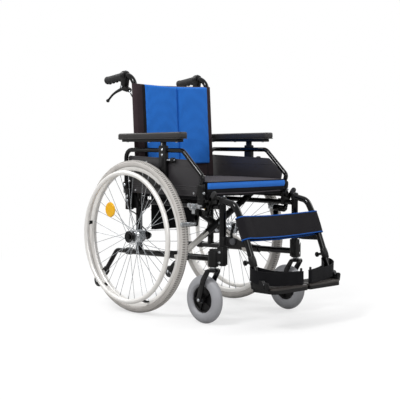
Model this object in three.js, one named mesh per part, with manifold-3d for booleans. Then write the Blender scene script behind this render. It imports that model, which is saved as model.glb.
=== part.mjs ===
// A folding wheelchair: cross-braced steel frame, spoked rear wheels with push rims and drum brakes,
// casters, flip-back arm rests, swing-away leg rests, wheel locks, anti-tippers and a fabric seat.
// Millimetres, +Z up. The chair faces -Y. Each side is built as the left one, at +X, and mirrored.
import * as THREE from "three";
import { mergeVertices } from "three/addons/utils/BufferGeometryUtils.js";
import Module from "manifold-3d";

const wasm = await Module();
wasm.setup();

// Fits between pieces, and how far a cut runs past its face
const fit = { touch: 0.3, slide: 0.4, turn: 0.6, overrun: 3 };

// How finely round things are cut
const facets = {
  tube: 10, small: 6, cord: 8, ring: 6, tab: 3, spoke: 3, wheel: 24, caster: 20, hub: 12, bend: 3, corner: 8, turn: 12,
  cushionAcross: 10, cushionDeep: 8, coverAcross: 8, coverUp: 4, loop: 18, strap: 8,
};
const bendRoomShare = 0.4878;

// Rear wheel, about the axle
const wheel = {
  radius: 305, planeOut: 65, section: 35, tyreDepth: 25.7, shoulder: 12, crown: 5,
  rimDepth: 18, rimWidth: 25, rimInnerWidth: 16,
  spokes: 36, spokeRadius: 1.1, spokeLean: 60, spokePass: 1.4, flangeShare: 0.88, spokeSeatShare: 0.2,
  pushRimOut: 114, pushRimRadius: 255, pushRimTube: 9.5, tabs: 6, tabRadius: 4, tabReach: 12, tabTurn: 14, tabSeatShare: 0.7,
};
const hub = {
  drumOut: 21.3, drumRadius: 31, drumLength: 24, barrelRadius: 15, flangeOut: 77, flangeRadius: 27,
  flangeThickness: 4, capRadius: 23.5, capOut: 98, capDome: 5, axleRadius: 6,
};
const reflector = { out: 72, turn: 55.954, reachShare: 0.58563, radius: 27, thickness: 5 };
const brakePlate = { out: 15, thickness: 5.5, armY: -25, armRadius: 5, armRise: 33, armOut: 9 };
const axleEnd = { innerOut: -16, headRadius: 9.5, headThickness: 3, buttonRadius: 4.5, buttonOut: 4, buttonDepth: 9 };

// Side frame
const frame = {
  halfWidth: 202, tube: 24, upright: 26, rail: 20, frontY: -434, rearY: 50, rearEndY: 130,
  lowerRearZ: 232, lowerFrontZ: 246, railZ: 441, frontTopZ: 452, rearTopZ: 500, bottomZ: 224,
  caneDepth: 115, antiTipDepth: 62,
};
const carrier = { thickness: 10, uprightRadius: 21, axleRadius: 16, bushRadius: 11, bushOut: -13 };
const bush = { radius: 15, rearY: -136, frontY: -242 };
const saddle = { length: 14, cheek: 3.5, clear: 1, cheekTopZ: 487.7, frontY: -388, rearY: 14 };

// Arm rest and its sockets
const arm = {
  out: 31, tube: 20, rearY: 93, frontY: -351, rise: 40, topFrontY: -248, kneeY: -362, kneeShare: 0.19685,
  legEndZ: 492, pivotZ: 508, eyeRadius: 14, pinRadius: 5, bendRadius: 34,
};
const socket = {
  radius: 15, bore: 12.8, bottomZ: 446, topZ: 523, floor: 8, armHeight: 22, armHalf: 9,
};
const hinge = { plateOut: 9, plateThickness: 7, bottomZ: 430, stopTopZ: 492, headThickness: 3, headRadius: 8 };
const guard = {
  out: 24.5, thickness: 4.5, clear: 0.9, topDrop: 23, bottomZ: 476, frontBottomY: -318, ribDepth: 1.6, ribs: 3, corner: 6,
};
const post = {
  housingOut: 29.6, housingEndOut: 45.4, frontY: -172, rearY: -115, bottomDrop: 112, topRise: 18,
  barOut: 37.5, barThickness: 8, barWidth: 30, barDrop: 90,
};
const pad = {
  out: 39, width: 46, frontY: -274, rearY: 128, rise: 41, thickness: 25, round: 9,
  plateThickness: 11, plateInset: 24, plateHalf: 18,
};

// Back cane, hand grip and its brake
const cane = { tube: 22, leanZ: 512, topY: 71, topZ: 962, endY: 262, endDrop: 16, bendRadius: 58 };
const grip = { startY: 152, radius: 15, tip: 10, bumps: 4, bumpRadius: 7.5, bumpDrop: 11, bumpStartShare: 0.75 };
const brakeHousing = {
  half: 12, slotHalf: 5.2, pivotY: 146, pivotDrop: 54, pinRadius: 3, clampY: 139, clampDrop: 7, clampRadius: 17,
  bodyRadius: 13, noseY: 122, noseDrop: 54, noseRadius: 10, exitY: 108, exitDrop: 69, exitRadius: 4,
};
const lever = {
  half: 4, eyeRadius: 8.5, ballRadius: 7.5, slotRise: 13,
  neckReach: 26, neckDrop: 9, neckRadius: 6, midReach: 60, midDrop: 18, midRadius: 5.5,
  bendReach: 88, bendDrop: 33, tipReach: 108, tipDrop: 50, tipRadius: 5,
};
const cableRadius = 2.5;

// Casters
const caster = {
  stemOut: 30, stemY: -415, trail: 47, radius: 91.4, width: 42, rimRadius: 50, hubWidth: 40,
  hubBore: 5.6, axleRadius: 5, barrel: 16, web: 7, windows: 5, windowRadius: 9, windowCircle: 31,
  tuckShare: 0.27, shoulderShare: 0.62, crownShare: 0.25, lipShare: 0.86, yaw: { left: 0, right: 0 },
};
const fork = {
  crownBottomZ: 198, crownTopZ: 211, legThickness: 5, legWidth: 21, legGap: 3.2, crownHalf: 22,
  stemRadius: 8, stemTopZ: 262, collarRadius: 12, boltHead: 9, boltHeadThickness: 3, eyeRadius: 12.5,
};
const housing = {
  bottomZ: 219, topZ: 278, radius: 23, clampRadius: 21, clampBottomZ: 224.5, clampTopZ: 294,
  capRadius: 14, capHeight: 3, boltRadius: 4.5, boltOut: 3, boltInset: 16, boreTopZ: 266,
};

// Wheel lock
const lock = {
  plateOut: 10.4, plateThickness: 4.6, pivotAhead: 54, pivotZ: 412, shoeAhead: 8, shoeZ: 421,
  tabBehind: 30, tabAhead: 16, tabTopZ: 449, pinRadius: 4, pinEndOut: 27, bladeOut: 17, bladeThickness: 7,
  headRadius: 6.5, headThickness: 2.5, tyreClear: 5.3704, barZ: 373, barRadius: 7, barEndOut: 98,
  kneeAhead: 74, handleKneeZ: 455, handleKneeRadius: 8, endAhead: 122, handleEndZ: 517, handleEndRadius: 11,
  shoeKneeAhead: 4, shoeKneeZ: 395, shoeKneeRadius: 12, shoeEndRadius: 11,
};

// Leg rest
const leg = {
  tube: 24, collarRadius: 14.5, collarTopZ: 479, tubeZ: 464, kneeY: -498, kneeZ: 452,
  topY: -524, topZ: 408, endY: -596, endZ: 232, pinRadius: 8, pinLength: 40, boreLength: 95,
  cuffWall: 4, cuffBottomZ: 299, cuffTopZ: 331, plateHalf: 3, discY: -478, discZ: 315, discRadius: 19, neckZ: 306,
  bendRadius: 46,
};
const clampKnob = { drop: 8, length: 40, shankRadius: 3.5, barRadius: 5, barHalf: 12, bossRadius: 13.2, bossLength: 26 };
const latch = {
  pivotY: -492, pivotZ: 318, out: 3.6, thickness: 6, pinRadius: 3, eyeRadius: 8,
  kneeY: -486, kneeZ: 345, kneeRadius: 5, tipY: -496, tipZ: 372, tipRadius: 6,
};
const extension = {
  tube: 19, engaged: 88, blockFrontY: -652, blockRearY: -596, blockHalf: 9.5, blockBottomZ: 153, blockTopZ: 188,
};
const foot = {
  pinZ: 172, pinRadius: 4, eyeRadius: 9, topZ: 158, slab: 10, lipZ: 138, middleGap: 20, out: 5,
  frontY: -685, rearY: -578, corner: 6, bigCorner: 32, lip: 8, lipInset: 12, lugWidth: 10, notch: 20, ribs: 3,
  ribThickness: 4, postRadius: 4.5,
};
const heel = { bottomZ: 166, height: 46, thickness: 3, wrap: 16.5 };

// Anti-tipper
const antiTip = {
  tube: 19, bendY: 196, lowY: 282, lowZ: 126, bendRadius: 30, wheelY: 318, wheelZ: 90, wheelRadius: 27,
  wheelWidth: 20, cheek: 4, axleRadius: 4, eyeRadius: 9, startY: 72,
};

// Cross brace
const brace = {
  rearY: -175, frontY: -203, tube: 23, sleeve: 26, sleeveStart: 92, pivotSleeve: 18.6, pivotLength: 40,
  railZ: 476, rail: 22, railFrontY: -390, railRearY: 30, pinRadius: 5, pinHead: 9, headThickness: 5,
};

// Fabric pieces
const cushion = { overhang: 12, frontY: -370, rearY: 34, bottomZ: 490, topZ: 530, crown: 7, edgeShare: 0.35 };
const sling = { frontY: -368, rearY: 10, wall: 1.6, sag: 6, thickness: 3 };
const cover = {
  bottomZ: 536, topDrop: 46, wall: 1.7, depth: 26, front: 17, channel: 5, pouchInset: 71, pouchBottomZ: 327, pouchDepth: 14,
  edgeShare: 0.5,
};
const calf = { topShare: 0.99, bottomShare: 0.54, wall: 3, clear: 0.6, bow: 22 };

const deg = Math.PI / 180;
const nearly = 1e-9;
const lowerAt = (y) => {
  const share = (y - frame.frontY) / (frame.rearEndY - frame.frontY);
  return frame.lowerFrontZ + share * (frame.lowerRearZ - frame.lowerFrontZ);
};
// Places across the chair, out from the side frame
const wheelX = frame.halfWidth + wheel.planeOut;
const pushRimX = frame.halfWidth + wheel.pushRimOut;
const drumX = frame.halfWidth + hub.drumOut;
const flangeX = frame.halfWidth + hub.flangeOut;
const capX = frame.halfWidth + hub.capOut;
const brakePlateX = frame.halfWidth + brakePlate.out;
const brakeArmX = frame.halfWidth + brakePlate.armOut;
const axleInnerX = frame.halfWidth + axleEnd.innerOut;
const bushInnerX = frame.halfWidth + carrier.bushOut;
const armX = frame.halfWidth + arm.out;
const hingeX = frame.halfWidth + hinge.plateOut;
const guardX = frame.halfWidth + guard.out;
const housingX = frame.halfWidth + post.housingOut;
const housingEndX = frame.halfWidth + post.housingEndOut;
const barX = frame.halfWidth + post.barOut;
const padX = frame.halfWidth + pad.out;
const stemX = frame.halfWidth + caster.stemOut;
const lockX = frame.halfWidth + lock.plateOut;
const lockPinX = frame.halfWidth + lock.pinEndOut;
const bladeX = frame.halfWidth + lock.bladeOut;
const lockBarX = frame.halfWidth + lock.barEndOut;
const latchX = frame.halfWidth + latch.out;
const footOuterX = frame.halfWidth + foot.out;
const footInnerX = foot.middleGap;
const footLipX = foot.middleGap + foot.lipInset;
const notchX = footOuterX - foot.notch;

// Heights and places that follow other sizes
const armTopZ = wheel.radius * 2 + arm.rise;
const barY = -Math.sqrt((wheel.radius + lock.tyreClear + lock.barRadius) ** 2 - (lock.barZ - wheel.radius) ** 2);
const lockPivotY = barY - lock.pivotAhead;
const shoeY = barY - lock.shoeAhead;
const tabRearY = barY + lock.tabBehind;
const kneeZ = socket.topZ + arm.kneeShare * (armTopZ - socket.topZ);
const padBottomZ = armTopZ + pad.rise;
const postBottomZ = armTopZ - post.bottomDrop;
const postTopZ = armTopZ + post.topRise;
const barBottomZ = armTopZ - post.barDrop;
const pivotZ = cane.topZ - brakeHousing.pivotDrop;
const braceLowZ = lowerAt((bush.rearY + bush.frontY) / 2);
const braceMiddleZ = (braceLowZ + brace.railZ) / 2;

// Solids from geometry, and joins and cuts of them
function solid(geometry) {
  const bare = geometry.clone();
  bare.deleteAttribute("normal");
  bare.deleteAttribute("uv");
  const merged = mergeVertices(bare);
  const found = merged.index.array;
  const faces = [];
  for (let i = 0; i < found.length; i += 3) {
    const [a, b, c] = found.slice(i, i + 3);
    if (a !== b && b !== c && c !== a) faces.push(a, b, c);
  }
  const vertProperties = new Float32Array(merged.attributes.position.array);
  const made = new wasm.Manifold(new wasm.Mesh({ numProp: 3, vertProperties, triVerts: new Uint32Array(faces) }));
  if (made.volume() > 0) return made;
  faces.reverse();
  return new wasm.Manifold(new wasm.Mesh({ numProp: 3, vertProperties, triVerts: new Uint32Array(faces) }));
}

function join(...pieces) {
  return pieces.flat().reduce((whole, piece) => whole.add(piece));
}

function cut(whole, ...tools) {
  return tools.flat().reduce((rest, tool) => rest.subtract(tool), whole);
}

function geometryOf(body) {
  const made = body.getMesh();
  const positions = new Float32Array(made.numVert * 3);
  for (let i = 0; i < made.numVert; i++) {
    positions.set(made.vertProperties.subarray(i * made.numProp, i * made.numProp + 3), i * 3);
  }
  const geometry = new THREE.BufferGeometry();
  geometry.setAttribute("position", new THREE.BufferAttribute(positions, 3));
  geometry.setIndex(new THREE.BufferAttribute(made.triVerts, 1));
  geometry.computeVertexNormals();
  return geometry;
}

// A path of straight runs with round bends, whose stations are where the section turns
class Route extends THREE.Curve {
  constructor(corners, bendRadius) {
    super();
    const points = corners.map((c) => new THREE.Vector3(...c));
    this.stations = [];
    points.forEach((point, i) => {
      const before = i > 0 ? point.clone().sub(points[i - 1]) : null;
      const after = i < points.length - 1 ? points[i + 1].clone().sub(point) : null;
      if (!before || !after) {
        this.stations.push({ point, along: (before ?? after).clone().normalize() });
        return;
      }
      const a = before.clone().normalize();
      const b = after.clone().normalize();
      const angle = a.angleTo(b);
      const reach = Math.min(bendRadius * Math.tan(angle / 2), before.length() * bendRoomShare, after.length() * bendRoomShare);
      const radius = reach / Math.tan(angle / 2);
      const start = point.clone().addScaledVector(a, -reach);
      const inward = b.clone().addScaledVector(a, -a.dot(b)).normalize();
      const steps = Math.max(1, Math.round((angle / (Math.PI / 2)) * facets.bend));
      for (let k = 0; k <= steps; k++) {
        const turn = (angle * k) / steps;
        this.stations.push({
          point: start.clone().addScaledVector(a, radius * Math.sin(turn))
            .addScaledVector(inward, radius * (1 - Math.cos(turn))),
          along: a.clone().multiplyScalar(Math.cos(turn)).addScaledVector(inward, Math.sin(turn)),
        });
      }
    });
  }
  getUtoTmapping(u) {
    return u;
  }
  blend(t, key, target) {
    const place = t * (this.stations.length - 1);
    const low = Math.min(Math.floor(place), this.stations.length - 2);
    return target.copy(this.stations[low][key]).lerp(this.stations[low + 1][key], place - low);
  }
  getPoint(t, target = new THREE.Vector3()) {
    return this.blend(t, "point", target);
  }
  getTangent(t, target = new THREE.Vector3()) {
    return this.blend(t, "along", target).normalize();
  }
}

function circle(radius, sides, u = 0, v = 0) {
  return Array.from({ length: sides }, (_, i) => {
    const turn = ((i + 0.5) / sides) * 2 * Math.PI;
    return new THREE.Vector2(u + radius * Math.cos(turn), v + radius * Math.sin(turn));
  });
}

// A round tube or cord along corners, with a bend radius
function pipe(corners, radius, bendRadius = radius, sides = facets.tube) {
  const extrudePath = new Route(corners, bendRadius);
  const steps = extrudePath.stations.length - 1;
  const shape = new THREE.Shape(circle(radius, sides));
  return solid(new THREE.ExtrudeGeometry(shape, { extrudePath, steps, bevelEnabled: false }));
}

function rod(from, to, radius, sides = facets.tube) {
  return pipe([from, to], radius, radius, sides);
}

// Local axes of an outline: across X its points are (y, z), across Y (z, x) and across Z (x, y)
const axes = {
  x: [[0, 1, 0], [0, 0, 1], [1, 0, 0]],
  y: [[0, 0, 1], [1, 0, 0], [0, 1, 0]],
  z: [[1, 0, 0], [0, 1, 0], [0, 0, 1]],
};

function turnTo(geometry, axis) {
  const [u, v, w] = axes[axis].map((a) => new THREE.Vector3(...a));
  return geometry.applyMatrix4(new THREE.Matrix4().makeBasis(u, v, w));
}

function prism(outline, axis, from, to) {
  const shape = new THREE.Shape(outline.map((p) => (p.isVector2 ? p : new THREE.Vector2(...p))));
  const geometry = new THREE.ExtrudeGeometry(shape, { depth: to - from, bevelEnabled: false });
  const shift = axes[axis][2].map((a) => a * from);
  return solid(turnTo(geometry, axis).translate(...shift));
}

// An outline without what lies past a line, given by its normal and its distance from the origin
function trimmed(outline, normal, distance) {
  const past = ([u, v]) => u * normal[0] + v * normal[1] - distance;
  return outline.flatMap((a, i) => {
    const b = outline[(i + 1) % outline.length];
    const kept = past(a) <= 0 ? [a] : [];
    if (past(a) <= 0 === past(b) <= 0) return kept;
    const share = past(a) / (past(a) - past(b));
    return [...kept, [a[0] + share * (b[0] - a[0]), a[1] + share * (b[1] - a[1])]];
  });
}

// The outline a belt takes round some circles
function belt(circles, sides = facets.corner) {
  const points = circles.flatMap(([u, v, r]) => circle(r, sides, u, v));
  points.sort((a, b) => a.x - b.x || a.y - b.y);
  const half = (list) => list.reduce((chain, p) => {
    while (chain.length > 1) {
      const [a, b] = chain.slice(-2);
      if ((b.x - a.x) * (p.y - a.y) - (b.y - a.y) * (p.x - a.x) > nearly) break;
      chain.pop();
    }
    chain.push(p);
    return chain;
  }, []);
  const under = half(points);
  const over = half([...points].reverse());
  return [...under.slice(0, -1), ...over.slice(0, -1)];
}

function plate(circles, axis, from, to, sides = facets.corner) {
  return prism(belt(circles, sides), axis, from, to);
}

// A blade that follows circles one after another
function blade(circles, axis, from, to, sides = facets.corner) {
  return join(circles.slice(1).map((c, i) => plate([circles[i], c], axis, from, to, sides)));
}

function block(x0, x1, y0, y1, z0, z1) {
  const geometry = new THREE.BoxGeometry(x1 - x0, y1 - y0, z1 - z0);
  return solid(geometry.translate((x0 + x1) / 2, (y0 + y1) / 2, (z0 + z1) / 2));
}

// A profile of [radius, along] turned about an axis that runs through a point
function turned(profile, axis, at, segments = facets.tube) {
  const points = profile.map(([radius, along]) => new THREE.Vector2(radius, along));
  const geometry = new THREE.LatheGeometry([...points, points[0]], segments);
  const upright = new THREE.Matrix4().makeRotationX(Math.PI / 2);
  return solid(turnTo(geometry.applyMatrix4(upright), axis).translate(...at));
}

function ball(centre, radius, sides = facets.small) {
  return solid(new THREE.SphereGeometry(radius, sides, sides / 2).translate(...centre));
}

// Side frame: tubes, axle carrier, brace bush, rail saddles and arm rest sockets
function sideFrame() {
  const x = frame.halfWidth;
  const axleZ = wheel.radius;
  const lower = rod([x, frame.rearEndY, lowerAt(frame.rearEndY)], [x, frame.frontY, frame.lowerFrontZ], frame.tube / 2);
  const front = rod([x, frame.frontY, frame.bottomZ], [x, frame.frontY, frame.frontTopZ], frame.upright / 2);
  const rear = rod([x, frame.rearY, lowerAt(frame.rearY)], [x, frame.rearY, frame.rearTopZ], frame.upright / 2);
  const rail = rod([x, frame.rearY, frame.railZ], [x, frame.frontY, frame.railZ], frame.rail / 2);
  const held = plate(
    [[frame.rearY, axleZ, carrier.uprightRadius], [0, axleZ, carrier.axleRadius]],
    "x", x - carrier.thickness / 2, x + carrier.thickness / 2,
  );
  const sleeve = rod([bushInnerX, 0, axleZ], [brakePlateX - fit.touch, 0, axleZ], carrier.bushRadius);
  const braceBush = rod([x, bush.rearY, braceLowZ], [x, bush.frontY, braceLowZ], bush.radius);
  const whole = join(lower, front, rear, rail, held, sleeve, braceBush, saddles(), armSocket(), armHinge());
  return cut(
    whole,
    rod([bushInnerX - fit.overrun, 0, axleZ], [brakePlateX + fit.overrun, 0, axleZ], hub.axleRadius + fit.slide),
    rod([x, frame.rearY, frame.rearTopZ - frame.caneDepth], [x, frame.rearY, frame.rearTopZ + fit.overrun],
      cane.tube / 2 + fit.slide),
    rod([x, frame.frontY, frame.frontTopZ - leg.pinLength - fit.overrun],
      [x, frame.frontY, frame.frontTopZ + fit.overrun], leg.pinRadius + fit.turn, facets.turn),
    rod([x, frame.rearEndY - frame.antiTipDepth, lowerAt(frame.rearEndY - frame.antiTipDepth)],
      [x, frame.rearEndY + fit.overrun, lowerAt(frame.rearEndY + fit.overrun)], antiTip.tube / 2 + fit.turn, facets.turn),
  );
}

// Two cradles on the side rail that the seat rail comes down into
function saddles() {
  const x = frame.halfWidth;
  const inner = brace.rail / 2 + saddle.clear;
  const outer = inner + saddle.cheek;
  return [saddle.frontY, saddle.rearY].map((y) => {
    const body = block(x - outer, x + outer, y, y + saddle.length, frame.railZ, saddle.cheekTopZ);
    const slot = plate([[brace.railZ, x, inner], [saddle.cheekTopZ + brace.rail, x, inner]],
      "y", y - fit.overrun, y + saddle.length + fit.overrun, facets.tube);
    return cut(body, slot);
  });
}

function armSocket() {
  const x0 = frame.halfWidth;
  const tube = rod([armX, arm.frontY, socket.bottomZ], [armX, arm.frontY, socket.topZ], socket.radius);
  const bore = rod([armX, arm.frontY, socket.bottomZ + socket.floor], [armX, arm.frontY, socket.topZ + fit.overrun],
    socket.bore);
  const bracket = block(x0, armX, arm.frontY - socket.armHalf, arm.frontY + socket.armHalf,
    socket.bottomZ + socket.floor - socket.armHeight, socket.bottomZ + socket.floor);
  return cut(join(tube, bracket), bore);
}

// Bracket with the pin that the arm rest flips back on
function armHinge() {
  const inner = hingeX;
  const outer = inner + hinge.plateThickness;
  const cheek = plate(
    [[frame.rearY, hinge.bottomZ + arm.eyeRadius, arm.eyeRadius], [arm.rearY, hinge.bottomZ + arm.eyeRadius, arm.eyeRadius],
      [arm.rearY, arm.pivotZ, arm.eyeRadius]], "x", inner, outer);
  const stop = block(outer - fit.touch, armX + arm.tube / 2, arm.rearY - arm.tube / 2, arm.rearY + arm.eyeRadius,
    hinge.bottomZ, hinge.stopTopZ);
  const pinEnd = armX + arm.tube / 2 + fit.turn;
  const pin = rod([inner, arm.rearY, arm.pivotZ], [pinEnd + hinge.headThickness, arm.rearY, arm.pivotZ], arm.pinRadius);
  const head = rod([pinEnd, arm.rearY, arm.pivotZ], [pinEnd + hinge.headThickness, arm.rearY, arm.pivotZ], hinge.headRadius);
  return join(cheek, stop, pin, head);
}

// Back cane, from the rear upright to the hand grip
const caneRoute = [
  [frame.halfWidth, frame.rearY, frame.rearTopZ - frame.caneDepth + fit.overrun],
  [frame.halfWidth, frame.rearY, cane.leanZ],
  [frame.halfWidth, cane.topY, cane.topZ],
  [frame.halfWidth, cane.endY, cane.topZ - cane.endDrop],
];
const handleAt = (y) => cane.topZ - ((y - cane.topY) / (cane.endY - cane.topY)) * cane.endDrop;

function backCane() {
  return pipe(caneRoute, cane.tube / 2, cane.bendRadius);
}

// Hand grip with its finger bumps, and the housing of the brake lever
function pushGrip() {
  const x = frame.halfWidth;
  const endY = cane.endY + grip.tip;
  const b = brakeHousing;
  const sleeve = rod([x, grip.startY, handleAt(grip.startY)], [x, endY, handleAt(endY)], grip.radius);
  const pitch = (endY - grip.startY - grip.radius) / grip.bumps;
  const bumps = Array.from({ length: grip.bumps }, (_, i) => {
    const y = grip.startY + pitch * (i + grip.bumpStartShare);
    return ball([x, y, handleAt(y) - grip.bumpDrop], grip.bumpRadius);
  });
  const noseZ = cane.topZ - b.noseDrop;
  const upper = plate([[b.clampY, cane.topZ - b.clampDrop, b.clampRadius], [b.pivotY, pivotZ, b.bodyRadius],
    [b.noseY, noseZ, b.noseRadius]], "x", x - b.half, x + b.half);
  const exit = rod([x, b.noseY, noseZ], [x, b.exitY, cane.topZ - b.exitDrop], b.exitRadius, facets.small);
  const slot = plate([[b.pivotY, pivotZ, lever.eyeRadius + fit.turn],
    [b.pivotY + b.clampRadius * 2, pivotZ + lever.slotRise, lever.eyeRadius],
    [b.pivotY + b.clampRadius, pivotZ - b.bodyRadius * 2, lever.eyeRadius]],
  "x", x - b.slotHalf, x + b.slotHalf, facets.turn);
  const pin = rod([x - b.half, b.pivotY, pivotZ], [x + b.half, b.pivotY, pivotZ], b.pinRadius);
  const body = cut(join(sleeve, bumps, upper, exit), slot, pipe(caneRoute, cane.tube / 2 + fit.touch, cane.bendRadius));
  return join(body, pin);
}

function brakeLever() {
  const x = frame.halfWidth;
  const b = brakeHousing;
  const route = [
    [b.pivotY, pivotZ, lever.eyeRadius], [b.pivotY + lever.neckReach, pivotZ - lever.neckDrop, lever.neckRadius],
    [b.pivotY + lever.midReach, pivotZ - lever.midDrop, lever.midRadius],
    [b.pivotY + lever.bendReach, pivotZ - lever.bendDrop, lever.tipRadius],
    [b.pivotY + lever.tipReach, pivotZ - lever.tipDrop, lever.tipRadius],
  ];
  const end = ball([x, b.pivotY + lever.tipReach, pivotZ - lever.tipDrop], lever.ballRadius);
  const body = join(blade(route, "x", x - lever.half, x + lever.half), end);
  return cut(body, rod([x - b.half, b.pivotY, pivotZ], [x + b.half, b.pivotY, pivotZ], b.pinRadius + fit.turn));
}

// Brake cable: down behind the cane, one slack loop, and forward to the arm of the drum brake
const cableRoute = [
  [0, 103.5, 888], [4, 87, 840], [4, 76, 600], [4, 84, 520], [4, 106, 440], [11, 98, 394],
  [17.5, 62, 382], [17.5, 36, 378], [11.8, -22, 368], [11.8, -25, 343.4],
].map(([out, y, z]) => [frame.halfWidth + out, y, z]);

function brakeCable() {
  return pipe(cableRoute, cableRadius, cableRadius * 7, facets.cord);
}

// Rear wheel: tyre, rim with spokes and hub, push rim, axle with brake plate, release button
function rearTyre() {
  const inner = wheel.radius - wheel.tyreDepth;
  const half = wheel.section / 2;
  const bead = wheel.rimWidth / 2 - fit.touch;
  const profile = [
    [inner, -bead], [wheel.radius - wheel.shoulder, -half],
    [wheel.radius - wheel.crown, -half + wheel.crown], [wheel.radius, -wheel.crown],
  ];
  const mirrored = profile.map(([r, along]) => [r, -along]).reverse();
  return turned([...profile, ...mirrored], "x", [wheelX, 0, wheel.radius], facets.wheel);
}

function rearRim() {
  const outer = wheel.radius - wheel.tyreDepth - fit.touch;
  const inner = outer - wheel.rimDepth;
  const half = wheel.rimWidth / 2;
  const profile = [
    [inner, -wheel.rimInnerWidth / 2], [inner + wheel.rimDepth / 2, -half], [outer, -half],
    [outer, half], [inner + wheel.rimDepth / 2, half], [inner, wheel.rimInnerWidth / 2],
  ];
  const ring = turned(profile, "x", [wheelX, 0, wheel.radius], facets.wheel);
  return join(ring, hubBody(), spokes(inner), reflectorDisc());
}

function hubBody() {
  const flangeOuter = flangeX + hub.flangeThickness;
  const bore = hub.axleRadius + fit.turn;
  const drumEnd = drumX + hub.drumLength;
  const profile = [
    [bore, drumX], [hub.drumRadius, drumX], [hub.drumRadius, drumEnd],
    [hub.barrelRadius, drumEnd], [hub.barrelRadius, flangeX - hub.flangeThickness],
    [hub.flangeRadius, flangeX], [hub.flangeRadius, flangeOuter], [hub.capRadius, flangeOuter],
    [hub.capRadius - hub.capDome, capX], [bore, capX],
  ];
  return turned(profile, "x", [0, 0, wheel.radius], facets.hub);
}

// Spokes lean forward and back in turn, and go to the drum and to the outer flange in turn
function spokes(rimInner) {
  return Array.from({ length: wheel.spokes }, (_, i) => {
    const toOuter = i % 2 === 0;
    const lean = Math.floor(i / 2) % 2 === 0 ? 1 : -1;
    const rimTurn = (i / wheel.spokes) * 2 * Math.PI;
    const hubTurn = rimTurn + lean * wheel.spokeLean * deg;
    const radius = (toOuter ? hub.flangeRadius : hub.drumRadius) * wheel.flangeShare;
    const pass = lean * wheel.spokePass;
    const side = pass + (toOuter ? flangeX + hub.flangeThickness / 2 : drumX + hub.drumLength - hub.flangeThickness);
    const rimSide = wheelX + pass + (toOuter ? 1 : -1) * wheel.rimInnerWidth * wheel.spokeSeatShare;
    const at = (x, r, turn) => [x, r * Math.sin(turn), wheel.radius + r * Math.cos(turn)];
    return rod(at(side, radius, hubTurn), at(rimSide, rimInner + wheel.spokeRadius, rimTurn), wheel.spokeRadius, facets.spoke);
  });
}

function reflectorDisc() {
  const half = reflector.thickness / 2;
  const x = frame.halfWidth + reflector.out;
  const reach = wheel.radius * reflector.reachShare;
  const y = reach * Math.sin(reflector.turn * deg);
  const z = wheel.radius + reach * Math.cos(reflector.turn * deg);
  return rod([x - half, y, z], [x + half, y, z], reflector.radius, facets.hub);
}

function pushRim() {
  const profile = circle(wheel.pushRimTube, facets.ring).map((p) => [wheel.pushRimRadius + p.x, p.y]);
  const ring = turned(profile, "x", [pushRimX, 0, wheel.radius], facets.wheel);
  const tabs = Array.from({ length: wheel.tabs }, (_, i) => {
    const turn = wheel.tabTurn * deg + (i / wheel.tabs) * 2 * Math.PI;
    const at = (x, r) => [x, r * Math.sin(turn), wheel.radius + r * Math.cos(turn)];
    const rimSide = wheelX + wheel.rimWidth / 2 + fit.touch;
    const rimRadius = wheel.radius - wheel.tyreDepth - wheel.rimDepth * wheel.tabSeatShare;
    const route = [at(rimSide, rimRadius), at(rimSide + wheel.tabReach, rimRadius), at(pushRimX, wheel.pushRimRadius)];
    return pipe(route, wheel.tabRadius, wheel.tabRadius, facets.tab);
  });
  return join(ring, tabs);
}

function axleAndBrake() {
  const z = wheel.radius;
  const plateEnd = brakePlateX + brakePlate.thickness;
  const capEnd = capX + fit.touch;
  const disc = rod([brakePlateX, 0, z], [plateEnd, 0, z], hub.drumRadius, facets.hub);
  const axle = rod([axleInnerX, 0, z], [capEnd + axleEnd.headThickness, 0, z], hub.axleRadius);
  const head = rod([capEnd, 0, z], [capEnd + axleEnd.headThickness, 0, z], axleEnd.headRadius);
  const armFoot = blade([[brakePlate.armY, z, brakePlate.armRadius], [brakePlate.armY, z + brakePlate.armRise, brakePlate.armRadius]],
    "x", brakeArmX, brakePlateX);
  const bore = rod([capEnd + axleEnd.headThickness - axleEnd.buttonDepth - axleEnd.buttonOut, 0, z],
    [capEnd + axleEnd.headThickness + fit.overrun, 0, z], axleEnd.buttonRadius + fit.touch);
  return cut(join(disc, axle, head, armFoot), bore);
}

function axleButton() {
  const end = capX + fit.touch + axleEnd.headThickness;
  return rod([end - axleEnd.buttonDepth + fit.touch, 0, wheel.radius], [end + axleEnd.buttonOut, 0, wheel.radius],
    axleEnd.buttonRadius);
}

// Arm rest: hoop with the slide housing, side guard, pad on its post
function armHoop() {
  const route = [
    [armX, arm.rearY, arm.pivotZ], [armX, arm.rearY, armTopZ], [armX, arm.topFrontY, armTopZ],
    [armX, arm.kneeY, kneeZ], [armX, arm.frontY, socket.topZ], [armX, arm.frontY, arm.legEndZ],
  ];
  const tube = pipe(route, arm.tube / 2, arm.bendRadius);
  const half = arm.tube / 2;
  const eye = rod([armX - half, arm.rearY, arm.pivotZ], [armX + half, arm.rearY, arm.pivotZ], arm.eyeRadius - fit.turn);
  const round = half / 2;
  const box = plate([[post.frontY + round, postBottomZ + round, round], [post.rearY - round, postBottomZ + round, round],
    [post.rearY - round, postTopZ - round, round], [post.frontY + round, postTopZ - round, round]],
  "x", housingX, housingEndX);
  const middle = (post.frontY + post.rearY) / 2;
  const slot = block(barX - post.barThickness / 2 - fit.slide, barX + post.barThickness / 2 + fit.slide,
    middle - post.barWidth / 2 - fit.slide, middle + post.barWidth / 2 + fit.slide,
    barBottomZ - fit.overrun, postTopZ + fit.overrun);
  const bore = rod([armX - arm.tube, arm.rearY, arm.pivotZ], [armX + arm.tube, arm.rearY, arm.pivotZ],
    arm.pinRadius + fit.turn);
  return cut(join(tube, eye, box), slot, bore);
}

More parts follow.
